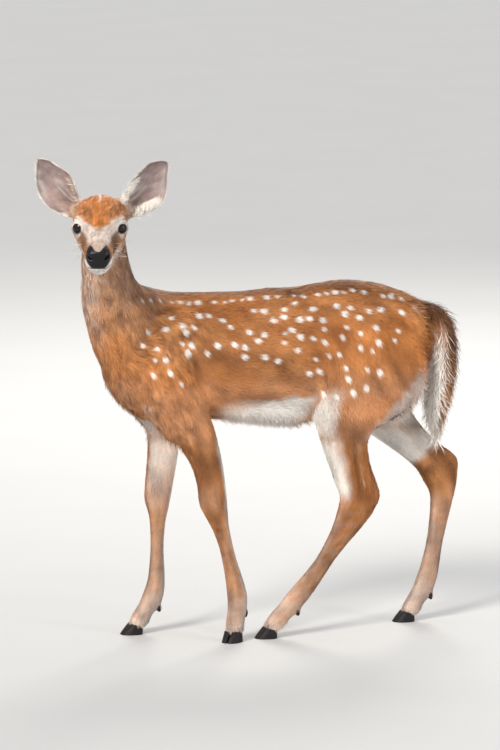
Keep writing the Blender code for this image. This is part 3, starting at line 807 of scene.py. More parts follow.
def placeSpots():
    surface = treeOf(skin.data)
    chance = np.random.default_rng(spotPlan["seed"])
    withers, small, large = spotPlan["withers"]
    spots = []
    for side in (-1, 1):
        for height, first, last, count, bare in spotRows:
            onBack = height > spotPlan["backFrom"]
            reach = spotPlan["reach"] * (spotPlan["backStray"] if onBack else 1)
            for k in range(count):
                wander = chance.uniform(-1, 1, 2) * reach
                x = first + (last - first) * k / (count - 1) + wander[0]
                size = chance.uniform(spotPlan["small"], spotPlan["large"])
                if bare and bare[0] < x < bare[1]:
                    continue
                start, ray = drawn(x, 0.16 * side, height + wander[1]), Vector((0, -side, 0))
                if onBack:  # dropped from above
                    start = drawn(x, (spotPlan["backOut"] + 0.5 * wander[1]) * side, 0.75)
                    ray = Vector((0, 0, -1))
                    size *= small if x < withers else large
                hit = surface.ray_cast(start, ray)[0]
                if hit is None or any((hit - Vector(s[:3])).length < spotPlan["apart"] for s in spots):
                    continue
                spots.append((*hit, size))
    return np.array(spots)


spots = placeSpots()


def waves(points, size, count=7, seed=3):
    # Smooth noise from -1 to 1 with features of about a size.
    source = np.random.default_rng(seed)
    total = np.zeros(len(points))
    for _ in range(count):
        run = unit(source.normal(size=3)) * 2 * np.pi / (size * source.uniform(0.7, 1.8))
        total += np.sin(points @ run + source.uniform(0, 6.28))
    return np.clip(total / count * 1.7, -1, 1)


def spotted(points, lie):
    # 1 inside a spot; spots are longer along the lie of the coat.
    white = np.zeros(len(points))
    ragged = 0.0009 * waves(points, 0.006, seed=8)
    for x, y, z, size in spots:
        away = points - np.array((x, y, z))
        near = np.nonzero(np.abs(away).max(axis=1) < 0.02)[0]
        along = dot(away[near], lie[near])
        off = np.sqrt(np.maximum(dot(away[near], away[near]) - along**2, 0))
        far = np.hypot(along / spotPlan["stretch"], off) + ragged[near]
        inside = ramp(size + spotPlan["soft"] / 2, size - spotPlan["soft"] / 2, far)
        white[near] = np.maximum(white[near], inside)
    return white


def blend(share, first, second):
    # The second where the share is 0, and the first where it is 1.
    return second + (first - second) * share


# How much each point belongs to each solid; the last column is the grooves' depth, which darkens them with
# painted shade.
members = np.column_stack((net.spread(np.eye(len(fleshNames))[owner], 8), creaseShade))
isRight = np.array(["_right" in n for n in fleshNames])
isHind = np.array(["_hind" in n for n in fleshNames])

# How strong each marking is, from 0 to 1, and the height of the white belly's edge.
markPlan = {
    "bellyTop": 0.424,
    "innerGaskin": 0.82,
    "frontGaskin": 0.95,
    "frontThigh": 0.9,
    "brisket": 0.34,
    "innerForearm": 0.74,
    "backForearm": 0.80,
    "innerShoulder": 0.85,
    "seat": 0.9,
    "backThigh": 0.58,
    "spine": 0.42,
    "throat": 0.85,
    "neckFront": 0.34,
    "knee": 0.09,
    "coronet": 0.55,
    "bridge": 0.56,
    "eyeRings": 0.72,
    "brow": 0.62,
    "lips": 0.9,
    "crown": 0.62,
    "forehead": 0.85,
    "earHollow": 0.80,
    "earRim": 0.80,
    # painted shade in the grooves, by their depth
    "creaseShade": 0.50,
}
# Places of the dark tufts on the legs, their reach, and how dark they are.
darkTufts = (
    ((0.350, 0.040, 0.285), 0.014, 0.45),
    ((0.186, -0.045, 0.262), 0.014, 0.40),
    ((0.108, -0.052, 0.113), 0.010, 0.35),
)


class Marks:
    # The markings at some points, and what is asked of each point to lay them.
    def __init__(self, points, normals, member):
        self.points, self.normals = points, normals
        self.crease = member[:, -1]
        share = member[:, :-1]
        for zone in sorted(set(zoneNames.tolist())):
            setattr(self, zone, share[:, zoneNames == zone].sum(1))
        self.legSide = 2 * share[:, isRight].sum(1) - 1
        self.hind = share[:, isHind].sum(1)
        self.body = self.trunk + self.shoulder + self.thigh
        self.upperLeg = self.forearm + self.gaskin
        self.lowLeg = self.shank + self.foot
        self.leg = self.upperLeg + self.lowLeg
        self.inBody = (points - np.array(shift)).T
        self.inHead = headPlace(points).T
        self.wander = waves(points, 0.045, seed=5)
        self.fine = waves(points, 0.012, seed=6)
        self.inward = -self.legSide * normals[:, 1]
        self.white = 0

    def whiten(self, share):
        self.white = np.maximum(self.white, share)


def markBody(at):
    x, y, z = at.inBody
    nx, ny, nz = at.normals.T
    wander, fine, plan = at.wander, at.fine, markPlan
    edge = plan["bellyTop"] + 0.024 * ramp(-0.075, 0.085, x) + 0.006 * wander + 0.003 * fine
    belly = ramp(-0.20, -0.70, nz) * ramp(0.455, 0.440, z) * ramp(-0.18, -0.10, x)
    flank = ramp(edge + 0.009, edge - 0.007, z) * ramp(-0.125, -0.095, x) * ramp(0.165, 0.110, x)
    at.whiten(np.maximum(belly, flank) * at.trunk)
    seat = ramp(0.15, 0.7, nx) * ramp(0.255, 0.285, x) * ramp(0.062, 0.040, np.abs(y))
    at.whiten(plan["seat"] * seat * ramp(0.52, 0.47, z) * at.body)
    at.whiten(0.06 * at.body * ramp(0.50, 0.45, z + 0.01 * wander) * ramp(0.2, 0.7, np.abs(ny)))
    spine = ramp(0.45, 0.95, nz) * ramp(0.036, 0.010, np.abs(y)) * at.trunk
    breast = ramp(0.0, -0.7, nz) * ramp(-0.10, -0.14, x) * (at.trunk + at.neck) * ramp(0.50, 0.46, z)
    elbow = ramp(0.47, 0.44, z) * ramp(edge, edge + 0.012, z) * at.trunk
    elbow = elbow * ramp(-0.10, -0.05, x) * ramp(0.02, -0.04, x)
    at.dark = plan["spine"] * spine + 0.16 * np.clip(wander, 0, 1) * at.body + 0.30 * breast + 0.25 * elbow
    at.grey = 0.30 * at.body * ramp(-0.190, -0.245, x + 0.006 * fine) + 0.10 * spine
    at.upNeck = at.neck * ramp(0.53, 0.68, z + 0.01 * wander)
    cloud = 0.12 + 0.30 * np.clip(0.4 + waves(at.points, 0.09, seed=9), 0, 1)
    at.rust = cloud * (at.body + at.neck - 0.75 * at.upNeck)
    at.rust += 0.20 * at.thigh * ramp(0.36, 0.44, z) + 0.12 * (at.shoulder + at.trunk) * ramp(0.52, 0.46, z)


def markUpperLegs(at):
    # White inside, down the front of the thigh and gaskin, and behind the forearm.
    x, y, z = at.inBody
    nx = at.normals[:, 0]
    fine, plan = at.fine, markPlan
    inner = ramp(0.05, 0.70, at.inward + 0.12 * at.wander)
    ahead = -nx + 0.20 * at.inward + 0.10 * at.wander  # the thigh's and gaskin's front edge
    front = plan["frontThigh"] * ramp(-0.12, 0.32, ahead) * ramp(0.47, 0.42, z)
    at.whiten(np.maximum(inner * ramp(0.52, 0.46, z), front) * at.thigh)
    isRightLeg = at.legSide > 0
    short = ramp(0.022, 0.004, 0.697 * x - 0.717 * z + 0.004 * fine)  # ends above the right hock
    inside = plan["innerGaskin"] * inner * np.where(isRightLeg, short, ramp(0.225, 0.320, z))
    front = ramp(-0.22, 0.25, ahead) * np.where(isRightLeg, short, ramp(0.225, 0.275, z))
    # No white in the grooves, so that their painted shade stays dark.
    front = plan["frontGaskin"] * front * ramp(0.30, 0.0, at.crease)
    at.whiten(np.maximum(inside, front) * at.gaskin)
    brisket = ramp(0.55, 0.95, -nx + 0.20 * fine) * ramp(0.350, 0.375, z) * ramp(0.450, 0.425, z)
    at.whiten(plan["brisket"] * brisket * (at.shoulder + at.forearm))
    at.whiten(plan["innerForearm"] * inner * at.forearm * (0.40 + 0.60 * ramp(0.250, 0.340, z)))
    at.whiten(plan["backForearm"] * at.forearm * ramp(0.50, 0.85, nx) * ramp(0.45, 0.42, z))
    at.whiten(plan["innerShoulder"] * inner * at.shoulder * ramp(0.46, 0.42, z))
    behind = ramp(-0.008, 0.014, 0.728 * (x - 0.218) - 0.685 * (z - 0.396) + 0.005 * fine) * (y < 0)
    at.whiten(plan["backThigh"] * behind * at.thigh)


def markNeck(at):
    # Paler down its front and white at the throat, darker along its nape.
    z, neck, fine = at.inBody[2], at.neck, at.fine
    frontWay = unit(np.array(heading) * ramp(0.60, 0.72, z)[:, None] + np.array((-1, 0, 0)))
    front = dot(at.normals, frontWay)
    at.grey = blend(neck, 0.30 + 0.16 * at.wander - 0.10 * ramp(0.2, 0.9, front), at.grey)
    throat = ramp(0.715, 0.770, z + 0.006 * fine) * ramp(0.1, 0.8, front)
    pale = markPlan["neckFront"] * ramp(0.30, 1.0, front + 0.35 * fine) * ramp(0.50, 0.62, z)
    at.whiten(neck * np.maximum(markPlan["throat"] * throat, pale))
    at.whiten(0.10 * at.upNeck)
    at.dark = at.dark + neck * (0.30 * ramp(-0.2, -0.9, front) + 0.10 * np.clip(fine, 0, 1))


def markTail(at):
    # Brown down its back, white at the sides, in front and at the tip.
    z, nx = at.inBody[2], at.normals[:, 0]
    behind = ramp(-0.22, 0.14, nx + 0.12 * at.fine) * ramp(0.372, 0.400, z)
    above = ramp(0.520, 0.565, z + 0.008 * at.fine)
    at.white = blend(at.tail, 1 - np.maximum(behind, above), at.white)
    dark = 0.45 * behind * ramp(0.45, 0.52, z) + 0.20 * behind + 0.30 * above * ramp(0.56, 0.52, z)
    at.dark = blend(at.tail, dark, at.dark)


def markLegs(at):
    # Paler and pinker towards the feet, with a painted highlight down the fronts of the hind legs.
    z, (nx, ny, nz) = at.inBody[2], at.normals.T
    fine, fore = at.fine, 1 - at.hind
    low = ramp(0.270, 0.070, z)
    at.grey = blend(at.leg, 0.05 + 0.07 * low, at.grey)
    inner = ramp(0.1, 0.8, at.inward)
    rust = (0.28 - 0.10 * low + 0.10 * at.hind * ramp(0.20, 0.28, z)) * (1 - 0.6 * inner)
    at.rust = blend(at.leg, rust, at.rust)
    palerWithHighlight = 0.01 + 0.10 * low + 0.10 * inner + 0.38 * ramp(0.15, 0.85, nx) * fore
    # The fronts of the hind legs are painted paler: a painted highlight.
    palerWithHighlight = palerWithHighlight + 0.18 * ramp(0.10, 0.05, z) + 0.14 * ramp(0.2, 0.8, -nx) * at.hind + 0.06 * fine
    at.white = blend(at.lowLeg, np.maximum(palerWithHighlight, 0.30 * inner * ramp(0.19, 0.25, z) * fore), at.white)
    at.dark = blend(at.lowLeg, 0.10 * np.clip(fine, 0, 1) + 0.10 * ramp(0.2, 0.9, -nx) * fore, at.dark)
    band = 0.32 * bump(z - 0.335, 0.030) * ramp(-0.1, 0.5, at.legSide * ny)
    at.dark = at.dark + at.forearm * (1 - inner) * (0.10 + band)
    knee = bump(z - 0.262, 0.028) * ramp(0.0, 0.6, -nx + 0.5 * np.abs(ny)) * fore
    at.whiten(markPlan["knee"] * knee * at.leg)
    at.whiten(markPlan["coronet"] * ramp(0.036, 0.026, z) * at.foot)
    for spot, size, share in darkTufts:
        far = np.linalg.norm(at.points - np.array(drawn(*spot)), axis=1)
        at.dark = np.maximum(at.dark, share * ramp(size, size * 0.4, far + 0.003 * fine))


def markHead(at):
    forward, left, up = at.inHead
    across, fine, plan = np.abs(left), at.fine, markPlan
    ring = lidRing(at.points)
    ahead = forward - 0.138 + 1.22 * np.maximum(across - 0.003, 0) - 0.0050 * fine  # of the cap's edge
    rusty = ramp(0.004, -0.010, ahead) * ramp(0.008, 0.022, up) * ramp(0.047, 0.036, across)
    bridge = ramp(-0.006, 0.010, ahead) * ramp(0.0225, 0.0150, across - 0.22 * (0.175 - forward))
    bridge = bridge * ramp(-0.002, 0.010, up)
    cheek = ramp(0.030, 0.040, across) * ramp(0.10, 0.06, forward)
    sideFrom = 0.0208 + 0.26 * np.maximum(0.155 - forward, 0)  # brown from the eye down the muzzle
    side = ramp(0.104, 0.124, forward) * ramp(0.178, 0.160, forward)
    side = side * ramp(sideFrom - 0.003, sideFrom + 0.002, across)
    side = side * ramp(0.024, 0.014, up) * ramp(-0.018, -0.009, up) * ramp(0.60, 0.85, ring)

    # White on the bridge, round the eyes, over the brows, under the jaw and on the lips and chin.
    under = 0.8 * ramp(0.002, -0.010, up)
    rings = ramp(1.65 + under, 0.80, ring + 0.12 * fine)
    brow = bump(ahead - 0.006, 0.007) * ramp(0.014, 0.022, across) * ramp(0.046, 0.038, across)
    jaw = ramp(-0.024, -0.040, up + 0.004 * fine) * ramp(0.00, 0.04, forward)
    lip = ramp(0.0070, 0.0100, across) * ramp(0.170, 0.180, forward) * ramp(-0.005, -0.010, up)
    lowCheek = ramp(-0.007, -0.017, up + 0.003 * fine) * ramp(0.080, 0.105, forward)
    whites = (
        (plan["bridge"] + 0.10 * fine) * bridge * (1 - 0.35 * ramp(0.165, 0.185, forward)),
        rings * (plan["eyeRings"] - 0.24 * ramp(0.092, 0.078, forward)),
        plan["brow"] * brow * ramp(0.005, 0.015, up),
        (0.40 + 0.40 * ramp(0.030, 0.015, across)) * jaw,
        ramp(0.0005, -0.0015, up - mouthHeight(forward)) * ramp(0.135, 0.150, forward),
        plan["lips"] * lip,
        0.34 * lowCheek * ramp(0.180, 0.165, forward),
    )
    faceWhite = np.maximum.reduce(whites) * (1 - 0.8 * side)

    # The forehead: a white line on the crown, streaks, and flecks of gold that are painted highlight.
    crown = bump(left + 0.0014 * fine, 0.0024) * ramp(0.086, 0.066, forward) * ramp(0.02, 0.035, forward)
    stretched = np.stack((left * 3.4, forward * 1.1 + across, up * 1.1), 1)
    rays = waves(stretched, 0.018, count=12, seed=14) * ramp(0.030, 0.065, forward)
    mottle = waves(np.stack((left * 1.9, forward, up), 1), 0.011, seed=21)
    # Painted highlight: pale gold patches over the cap, with less rust under them.
    goldHighlight = rusty * np.clip(-mottle - 0.1, 0, 1) * ramp(0.115, 0.075, forward)
    flecksAndHighlight = np.maximum(0.10 * rusty * np.clip(-rays, 0, 1), 0.26 * goldHighlight)
    faceWhite = np.maximum.reduce((faceWhite, plan["crown"] * crown * ramp(0.03, 0.04, up), flecksAndHighlight))
    earFoot = bump(np.hypot(np.hypot(forward - 0.020, across - 0.047), up - 0.012), 0.017)
    at.white = blend(at.head, np.maximum(faceWhite, 0.45 * earFoot), at.white)
    rust = np.clip(plan["forehead"] * rusty - 0.35 * goldHighlight + 0.12 * side, 0, 1) * (1 - 0.8 * earFoot)
    at.rust = blend(at.head, rust, at.rust)
    grey = 0.25 + 0.30 * bridge + 0.20 * cheek + 0.15 * side - 0.2 * rusty
    at.grey = blend(at.head, grey, at.grey)

    # Dark streaks over the brows, a smudge by the nose, and the side of the muzzle.
    streak = bump(ahead + 0.020, 0.012) * ramp(0.009, 0.018, across) * ramp(0.036, 0.028, across)
    smudge = bump(forward - 0.158, 0.012) * ramp(0.018, 0.022, across) * bump(up + 0.008, 0.009)
    clouds = 0.36 * streak + 0.16 * np.clip(fine, 0, 1) + 0.22 * np.clip(rays, 0, 1)
    faceDark = rusty * (clouds + 0.26 * np.clip(mottle, 0, 1)) + 0.45 * smudge
    faceDark = faceDark + 0.46 * side * ramp(0.115, 0.145, forward) + 0.16 * side
    faceDark = faceDark + 0.30 * bump(ring - 0.62, 0.20) * ramp(0.105, 0.115, forward)
    faceDark = faceDark + 0.18 * cheek * np.clip(at.wander + 0.3, 0, 1)
    at.dark = blend(at.head, faceDark, at.dark)
    lipLine = bump(up - mouthHeight(forward) - 0.0006, 0.0016) * ramp(0.150, 0.162, forward)
    lipLine = lipLine * ramp(0.004, -0.004, up) * ramp(0.030, 0.026, across)
    blacks = (nosePad(forward, left, up), lipLine, ramp(0.26, 0.16, ring), 0.9 * tearDuct(at.points))
    at.black = at.head * np.maximum.reduce(blacks)


def markEars(at):
    # Pinkish grey inside, with pale ridges, a dark hollow, long white edges and a white rim.
    fine, ear, isLeft = at.fine, at.ear, at.inHead[1] > 0
    s, t = earPlace(at.points, ear > 0.01)
    face = np.where(isLeft, at.normals @ earAxes(1)[2], at.normals @ earAxes(-1)[2])
    inside = ramp(-0.05, 0.30, face + np.where(isLeft, 0, 0.30)) * ramp(0.02, 0.5, ear)
    ours = np.where(isLeft, 1.0, 0.14)
    inner = ours * ramp(0.56 + 0.40 * s, 0.80 + 0.30 * s, -t + 0.10 * fine) * ramp(0.54, 0.32, s)
    start = np.where(isLeft, 0.48, 0.86)
    outer = ours * ramp(start, start + 0.16, t + 0.08 * fine) * ramp(0.58, 0.38, s)
    hair = np.maximum(inner, outer)
    ridges = bump(t + 0.40 - 0.25 * s, 0.09) * ramp(0.72, 0.40, s)
    ridges = ridges + bump(t + 0.02 + 0.10 * s, 0.07) * ramp(0.60, 0.35, s)
    margin = bump(t - 0.70, 0.18) * ramp(0.40, 0.62, s) * ramp(0.95, 0.80, s)
    white = inside * np.maximum(0.12 + 0.10 * fine + 0.26 * ridges + 0.26 * margin, hair)
    end = np.where(isLeft, 1.030, 1.042)  # past 1, as the tips reach up
    gap = np.minimum((1 - np.abs(t)) * earHalfWide(np.clip(s, 0, 1)), (end - s) * earPlan["length"])
    white = np.maximum(white, markPlan["earRim"] * ramp(0.0034, 0.0018, gap))
    at.white = blend(ear, white, at.white)
    at.grey = blend(ear, 0.35 + 0.3 * inside, at.grey)
    hollow = bump(s - 0.20, 0.17) * bump(t - 0.20, 0.42) * (1 - 0.7 * ridges)
    shade = markPlan["earHollow"] * hollow + 0.16 * ramp(0.7, 1.0, s)
    dark = 0.32 * (1 - inside) * ramp(0.2, 0.9, s) + inside * (1 - hair) * shade
    at.dark = blend(ear, dark, at.dark)
    at.rust = blend(ear, 0.22 * (1 - inside), at.rust)
    at.pink = ear * inside * (1 - hair) * (1 - 0.62 * hollow)
    tipEdge = bump(gap - 0.0052, 0.0016) * ramp(0.62, 0.80, s)
    at.black = np.maximum(at.black, 0.38 * ear * np.clip(tipEdge, 0, 1) * inside)


def marksAt(points, normals, lie, member):
    # White, dark, grey, rust, black and pink, each from 0 to 1.
    at = Marks(points, normals, member)
    for lay in (markBody, markUpperLegs, markNeck, markTail, markLegs, markHead, markEars):
        lay(at)
    # Painted shade: the grooves and the thin shins darken by their depth.
    at.dark = at.dark + markPlan["creaseShade"] * at.crease * (0.8 + 0.3 * at.fine)
    at.whiten(spotted(points, lie) * np.clip(at.body + at.neck, 0, 1))
    return np.clip(np.stack((at.white, at.dark, at.grey, at.rust, at.black, at.pink), 1), 0, 1)


print("markings laid:", len(spots), "spots")


class Signal:
    # A socket's number, for writing shader maths as sums.
    def __init__(self, finish, socket):
        self.finish, self.socket = finish, socket

    def maths(self, operation, other, swapped=False):
        pair = [self.socket, other.socket if isinstance(other, Signal) else other]
        values = dict(enumerate(reversed(pair) if swapped else pair))
        node = self.finish.add("ShaderNodeMath", {"operation": operation}, values)
        return Signal(self.finish, node.outputs[0])

    def __add__(self, other):
        return self.maths("ADD", other)

    def __sub__(self, other):
        return self.maths("SUBTRACT", other)

    def __rsub__(self, other):
        return self.maths("SUBTRACT", other, swapped=True)

    def __mul__(self, other):
        return self.maths("MULTIPLY", other)

    __radd__, __rmul__ = __add__, __mul__


class Finish:
    # A node material; add makes any node from its type, settings and sockets.
    def __init__(self, name, **constants):
        self.material = bpy.data.materials.new(name)
        self.material.use_nodes = True
        self.nodes = self.material.node_tree.nodes
        self.links = self.material.node_tree.links
        self.shader = self.nodes["Principled BSDF"]
        for socket, value in constants.items():
            self.shader.inputs[socket.replace("_", " ")].default_value = value

    def add(self, kind, settings=None, values=None):
        node = self.nodes.new(kind)
        for name, value in (settings or {}).items():
            setattr(node, name, value)
        for socket, value in (values or {}).items():
            self.feed(node.inputs[socket], value)
        return node

    def feed(self, socket, value):
        value = value.socket if isinstance(value, Signal) else value
        if isinstance(value, bpy.types.NodeSocket):
            self.links.new(value, socket)
        else:
            socket.default_value = value

    def drive(self, socket, value):
        self.feed(self.shader.inputs[socket], value)

    def split(self, attribute):
        # The three numbers of a vector attribute.
        read = self.add("ShaderNodeAttribute", {"attribute_name": attribute})
        parts = self.add("ShaderNodeSeparateXYZ", values={0: read.outputs["Vector"]})
        return [Signal(self, output) for output in parts.outputs]

    def noise(self, scale, detail=2.0, place=None):
        if place is None:
            place = self.add("ShaderNodeTexCoord").outputs["Object"]
        node = self.add("ShaderNodeTexNoise", values={"Vector": place, "Scale": scale, "Detail": detail})
        return Signal(self, node.outputs["Fac"])

    def between(self, share, first, second):
        # A colour between two, by a share.
        node = self.add("ShaderNodeMix", {"data_type": "RGBA", "clamp_factor": True}, {0: share})
        for socket, colour in ((6, first), (7, second)):
            self.feed(node.inputs[socket], (*colour, 1) if isinstance(colour, tuple) else colour)
        return node.outputs[2]

    def scaled(self, colour, share):
        node = self.add("ShaderNodeVectorMath", {"operation": "SCALE"}, {0: colour, "Scale": share})
        return node.outputs[0]

    def bump(self, height, distance, strength=1.0):
        sockets = {"Height": height, "Distance": distance, "Strength": strength}
        self.drive("Normal", self.add("ShaderNodeBump", values=sockets).outputs[0])


coatColours = {
    "deep": (0.240, 0.078, 0.022),
    "light": (0.640, 0.290, 0.105),
    "white": (0.950, 0.905, 0.840),
    "dark": (0.075, 0.030, 0.014),
    "grey": (0.380, 0.225, 0.135),
    "rust": (0.660, 0.225, 0.045),
    "black": (0.006, 0.006, 0.007),
    "pink": (0.365, 0.245, 0.235),
}


def coatColour(finish):
    # The colour that skin and tufts share, from the markings.
    white, dark, grey = finish.split("marksA")
    rust, black, pink = finish.split("marksB")
    along, lot, tone = finish.split("strand")
    cloud = finish.noise(26, 3)
    colour = finish.between(tone * 0.85 + cloud * 0.6 - 0.22, coatColours["deep"], coatColours["light"])
    layers = {"grey": grey, "rust": rust, "dark": dark, "pink": pink, "white": white, "black": black}
    for name, share in layers.items():
        colour = finish.between(share, colour, coatColours[name])
    lift = 0.75 + along * 0.30 + (lot - 0.5) * 0.28 + (tone - 0.5) * 0.42
    return finish.scaled(colour, lift)


def coatFinish():
    finish = Finish("coat_hair", Roughness=0.62, Specular_IOR_Level=0.35)
    finish.drive("Base Color", coatColour(finish))
    return finish.material


def skinFinish():
    finish = Finish("skin_under_coat", Specular_IOR_Level=0.08, Coat_Roughness=0.32)
    finish.drive("Base Color", coatColour(finish))
    wet, bare, nose = finish.split("bareness")
    finish.drive("Roughness", 0.70 - wet * 0.40)
    finish.drive("Coat Weight", wet * 0.50)
    place = finish.add("ShaderNodeTexCoord").outputs["Object"]
    pebbles = finish.add(
        "ShaderNodeTexVoronoi", {"feature": "DISTANCE_TO_EDGE"}, {"Vector": place, "Scale": 720}
    )
    cells = Signal(finish, pebbles.outputs["Distance"]).maths("MINIMUM", 0.30)
    finish.bump(nose * cells * 2.2 + finish.noise(900, 3) * (1 - nose), 0.0005, 0.6)
    return finish.material


def storeCoat(mesh, marks, strand):
    # What the coat's colour reads: the markings, and a strand's place along it, lot and tone.
    storeVector(mesh, "marksA", marks[..., :3].reshape(-1, 3))
    storeVector(mesh, "marksB", marks[..., 3:].reshape(-1, 3))
    storeVector(mesh, "strand", strand.reshape(-1, 3))


def unwrapSkin():
    selectOnly(skin)
    skin.data.uv_layers.new(name="OFBake")
    bpy.ops.object.mode_set(mode="EDIT")
    bpy.ops.mesh.select_all(action="SELECT")
    bpy.ops.uv.smart_project(angle_limit=math.radians(66), island_margin=0.0015)
    bpy.ops.object.mode_set(mode="OBJECT")


def bareness(points):
    # How wet each point is, whether it has no hair, and where the nose is pebbled.
    forward, left, up = headPlace(points).T
    head = zoneNames[owner] == "head"
    nose = nosePad(forward, left, up) * head
    lids = ramp(0.30, 0.20, lidRing(points)) * head
    duct = tearDuct(points) * head
    hole = nostril(left, up) * ramp(0.176, 0.186, forward) * head
    wet = np.maximum.reduce((nose, 0.9 * lids, 0.7 * duct))
    return np.stack((wet, np.maximum.reduce((nose, lids, duct > 0.5, hole)), nose * (1 - hole)), 1)


def toneOf(places, lock, strand):
    # From 0 for the deepest brown to 1 for the lightest.
    return np.clip(0.5 + 0.18 * waves(places, 0.035, seed=12) + 0.40 * lock + 0.34 * strand, 0, 1)


skinTone = toneOf(points, locks, strands)
skinStrand = np.stack((np.full(len(points), 0.40), np.full(len(points), 0.5), skinTone), 1)
storeCoat(skin.data, marksAt(points, normals, flow, members), skinStrand)
bare = bareness(points)
storeVector(skin.data, "bareness", bare)
unwrapSkin()
skin.data.materials.clear()
skin.data.materials.append(skinFinish())
skin.data.shade_smooth()
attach(skin, "root")
for name in fleshNames:
    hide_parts(name)
print("skin finished:", len(skin.data.polygons), "faces")

# Coat: thin tapering tufts, rooted all over the skin, in one mesh for each part of the body.
coatMaterial = coatFinish()
tuftPlan = {
    "patch": 0.003,  # a tuft's size on the unwrap
    "rootDeep": 0.0006,
    "swing": 0.17,  # radians that a tuft turns from the lie of the coat
    "roll": 0.30,
    "own": 0.42,  # how much a tuft's shading follows its own face and not the skin's
    "fill": 0.70,  # how much of its length times its width a tuft covers
    "most": 190000,  # triangles in one piece
}


def skinTriangles():
    mesh = skin.data
    corners = trianglesOf(mesh)
    loops = np.empty(len(mesh.loop_triangles) * 3, dtype=np.int32)
    mesh.loop_triangles.foreach_get("loops", loops)
    uv = np.empty(len(mesh.loops) * 2)
    mesh.uv_layers["OFBake"].data.foreach_get("uv", uv)
    return corners, uv.reshape(-1, 2)[loops].reshape(-1, 3, 2)


corners, cornerUv = skinTriangles()
edgeA = points[corners[:, 1]] - points[corners[:, 0]]
edgeB = points[corners[:, 2]] - points[corners[:, 0]]
areas = np.linalg.norm(np.cross(edgeA, edgeB), axis=1) / 2


def total(density):
    return (areas * density[corners].mean(axis=1)).sum()


def scatter(density):
    # Roots spread by a density per square metre: each one's triangle, its shares of the triangle's
    # corners, its place, the skin's normal there, and its place on the unwrap.
    expected = areas * density[corners].mean(axis=1)
    sums = np.cumsum(expected)
    count = int(sums[-1])
    spread = (np.arange(count) + chance.random(count)) / count * sums[-1]
    picked = np.minimum(np.searchsorted(sums, spread), len(corners) - 1)
    a, b = chance.random((2, count))
    fold = a + b > 1
    a[fold], b[fold] = 1 - a[fold], 1 - b[fold]
    shares = np.stack((1 - a - b, a, b), 1)
    roots, ups = mixed(points, picked, shares), unit(mixed(normals, picked, shares))
    return picked, shares, roots, ups, np.einsum("ij,ijk->ik", shares, cornerUv[picked])


def mixed(values, picked, shares):
    # Values at the skin's points, read at the roots.
    return np.einsum("ij,ij...->i...", shares, values[corners[picked]])


def turned(vectors, axes, angles):
    # Each vector turned about its axis.
    c, s = np.cos(angles)[:, None], np.sin(angles)[:, None]
    return vectors * c + np.cross(axes, vectors) * s + axes * dot(axes, vectors)[:, None] * (1 - c)


def meshOf(name, places, faces, uvs, marks, strand, facing):
    # One mesh of many like strips, with the places, marks and shading directions of each one's points.
    count, size = places.shape[:2]
    sizes = np.array([len(f) for f in faces])
    flat = np.array([i for f in faces for i in f])
    loops = (flat[None] + (np.arange(count) * size)[:, None]).ravel()
    starts = np.concatenate(([0], np.cumsum(np.tile(sizes, count))[:-1]))
    mesh = bpy.data.meshes.new(name)
    mesh.vertices.add(count * size)
    mesh.vertices.foreach_set("co", places.astype(np.float32).ravel())
    mesh.loops.add(len(loops))
    mesh.loops.foreach_set("vertex_index", loops.astype(np.int32))
    mesh.polygons.add(len(starts))
    mesh.polygons.foreach_set("loop_start", starts.astype(np.int32))
    mesh.update(calc_edges=True)
    layer = mesh.uv_layers.new(name="OFBake")
    layer.data.foreach_set("uv", uvs.reshape(-1, 2)[loops].astype(np.float32).ravel())
    storeCoat(mesh, marks, strand)
    mesh.shade_smooth()
    mesh.normals_split_custom_set_from_vertices(facing.reshape(-1, 3).astype(np.float32))
    obj = bpy.data.objects.new(name, mesh)
    bpy.context.scene.collection.objects.link(obj)
    obj.data.materials.append(coatMaterial)
    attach(obj, "root")
    return obj


# A tuft's points along it: share of its length, share of its width.
shortTuft = ((0.0, 1.0), (0.5, 0.80), (1.0, 0.0))
longTuft = ((0.0, 0.8), (0.30, 1.0), (0.65, 0.70), (1.0, 0.0))


def tuftFaces(stations):
    last = len(stations) - 1
    faces = [(2 * k, 2 * k + 1, 2 * k + 3, 2 * k + 2) for k in range(last - 1)]
    return faces + [(2 * last - 2, 2 * last - 1, 2 * last)]


def layTufts(
    name, roots, ups, half, full, widths, depths, uv, marks, lot, tone, stations=shortTuft, spin=0.0
):
    # Strips that leave the skin at their roots, pass half and end at full, both from the root.
    count = len(roots)
    across = unit(np.cross(full, ups))
    across = turned(across, unit(full), chance.normal(spin, tuftPlan["roll"], count))
    rise = chance.uniform(0.75, 1.15, count)
    face = unit(np.cross(across, unit(full)))
    facing = unit(ups * (1 - tuftPlan["own"]) + face * tuftPlan["own"])
    places, uvs, strand, colours, facings = [], [], [], [], []
    patch = tuftPlan["patch"]
    for s, wide in stations:
        first = 4 * s * (1 - s)  # a curve through the root, half and full
        line = roots + half * first + full * (2 * s * s - s)
        up = depths * rise * (np.sin(min(s * 1.35, 1) * np.pi / 2)) - tuftPlan["rootDeep"] * (s == 0)
        line = line + ups * up[:, None]
        for sign in ((-1, 1) if wide else (0,)):
            places.append(line + across * (widths * wide * sign / 2)[:, None])
            uvs.append(uv + np.array((sign * patch * (0.5 - 0.2 * s), patch * (s - 0.5))))
            strand.append(np.stack((np.full(count, s), lot, tone), 1))
            colours.append(marks[round(s * (len(marks) - 1))])  # read at even steps along the tuft
            facings.append(unit(facing + across * (0.35 * sign)))
    places, uvs, strand, colours, facings = (
        np.stack(rows, 1) for rows in (places, uvs, strand, colours, facings)
    )
    return meshOf(name, places, tuftFaces(stations), uvs, colours, strand, facings)


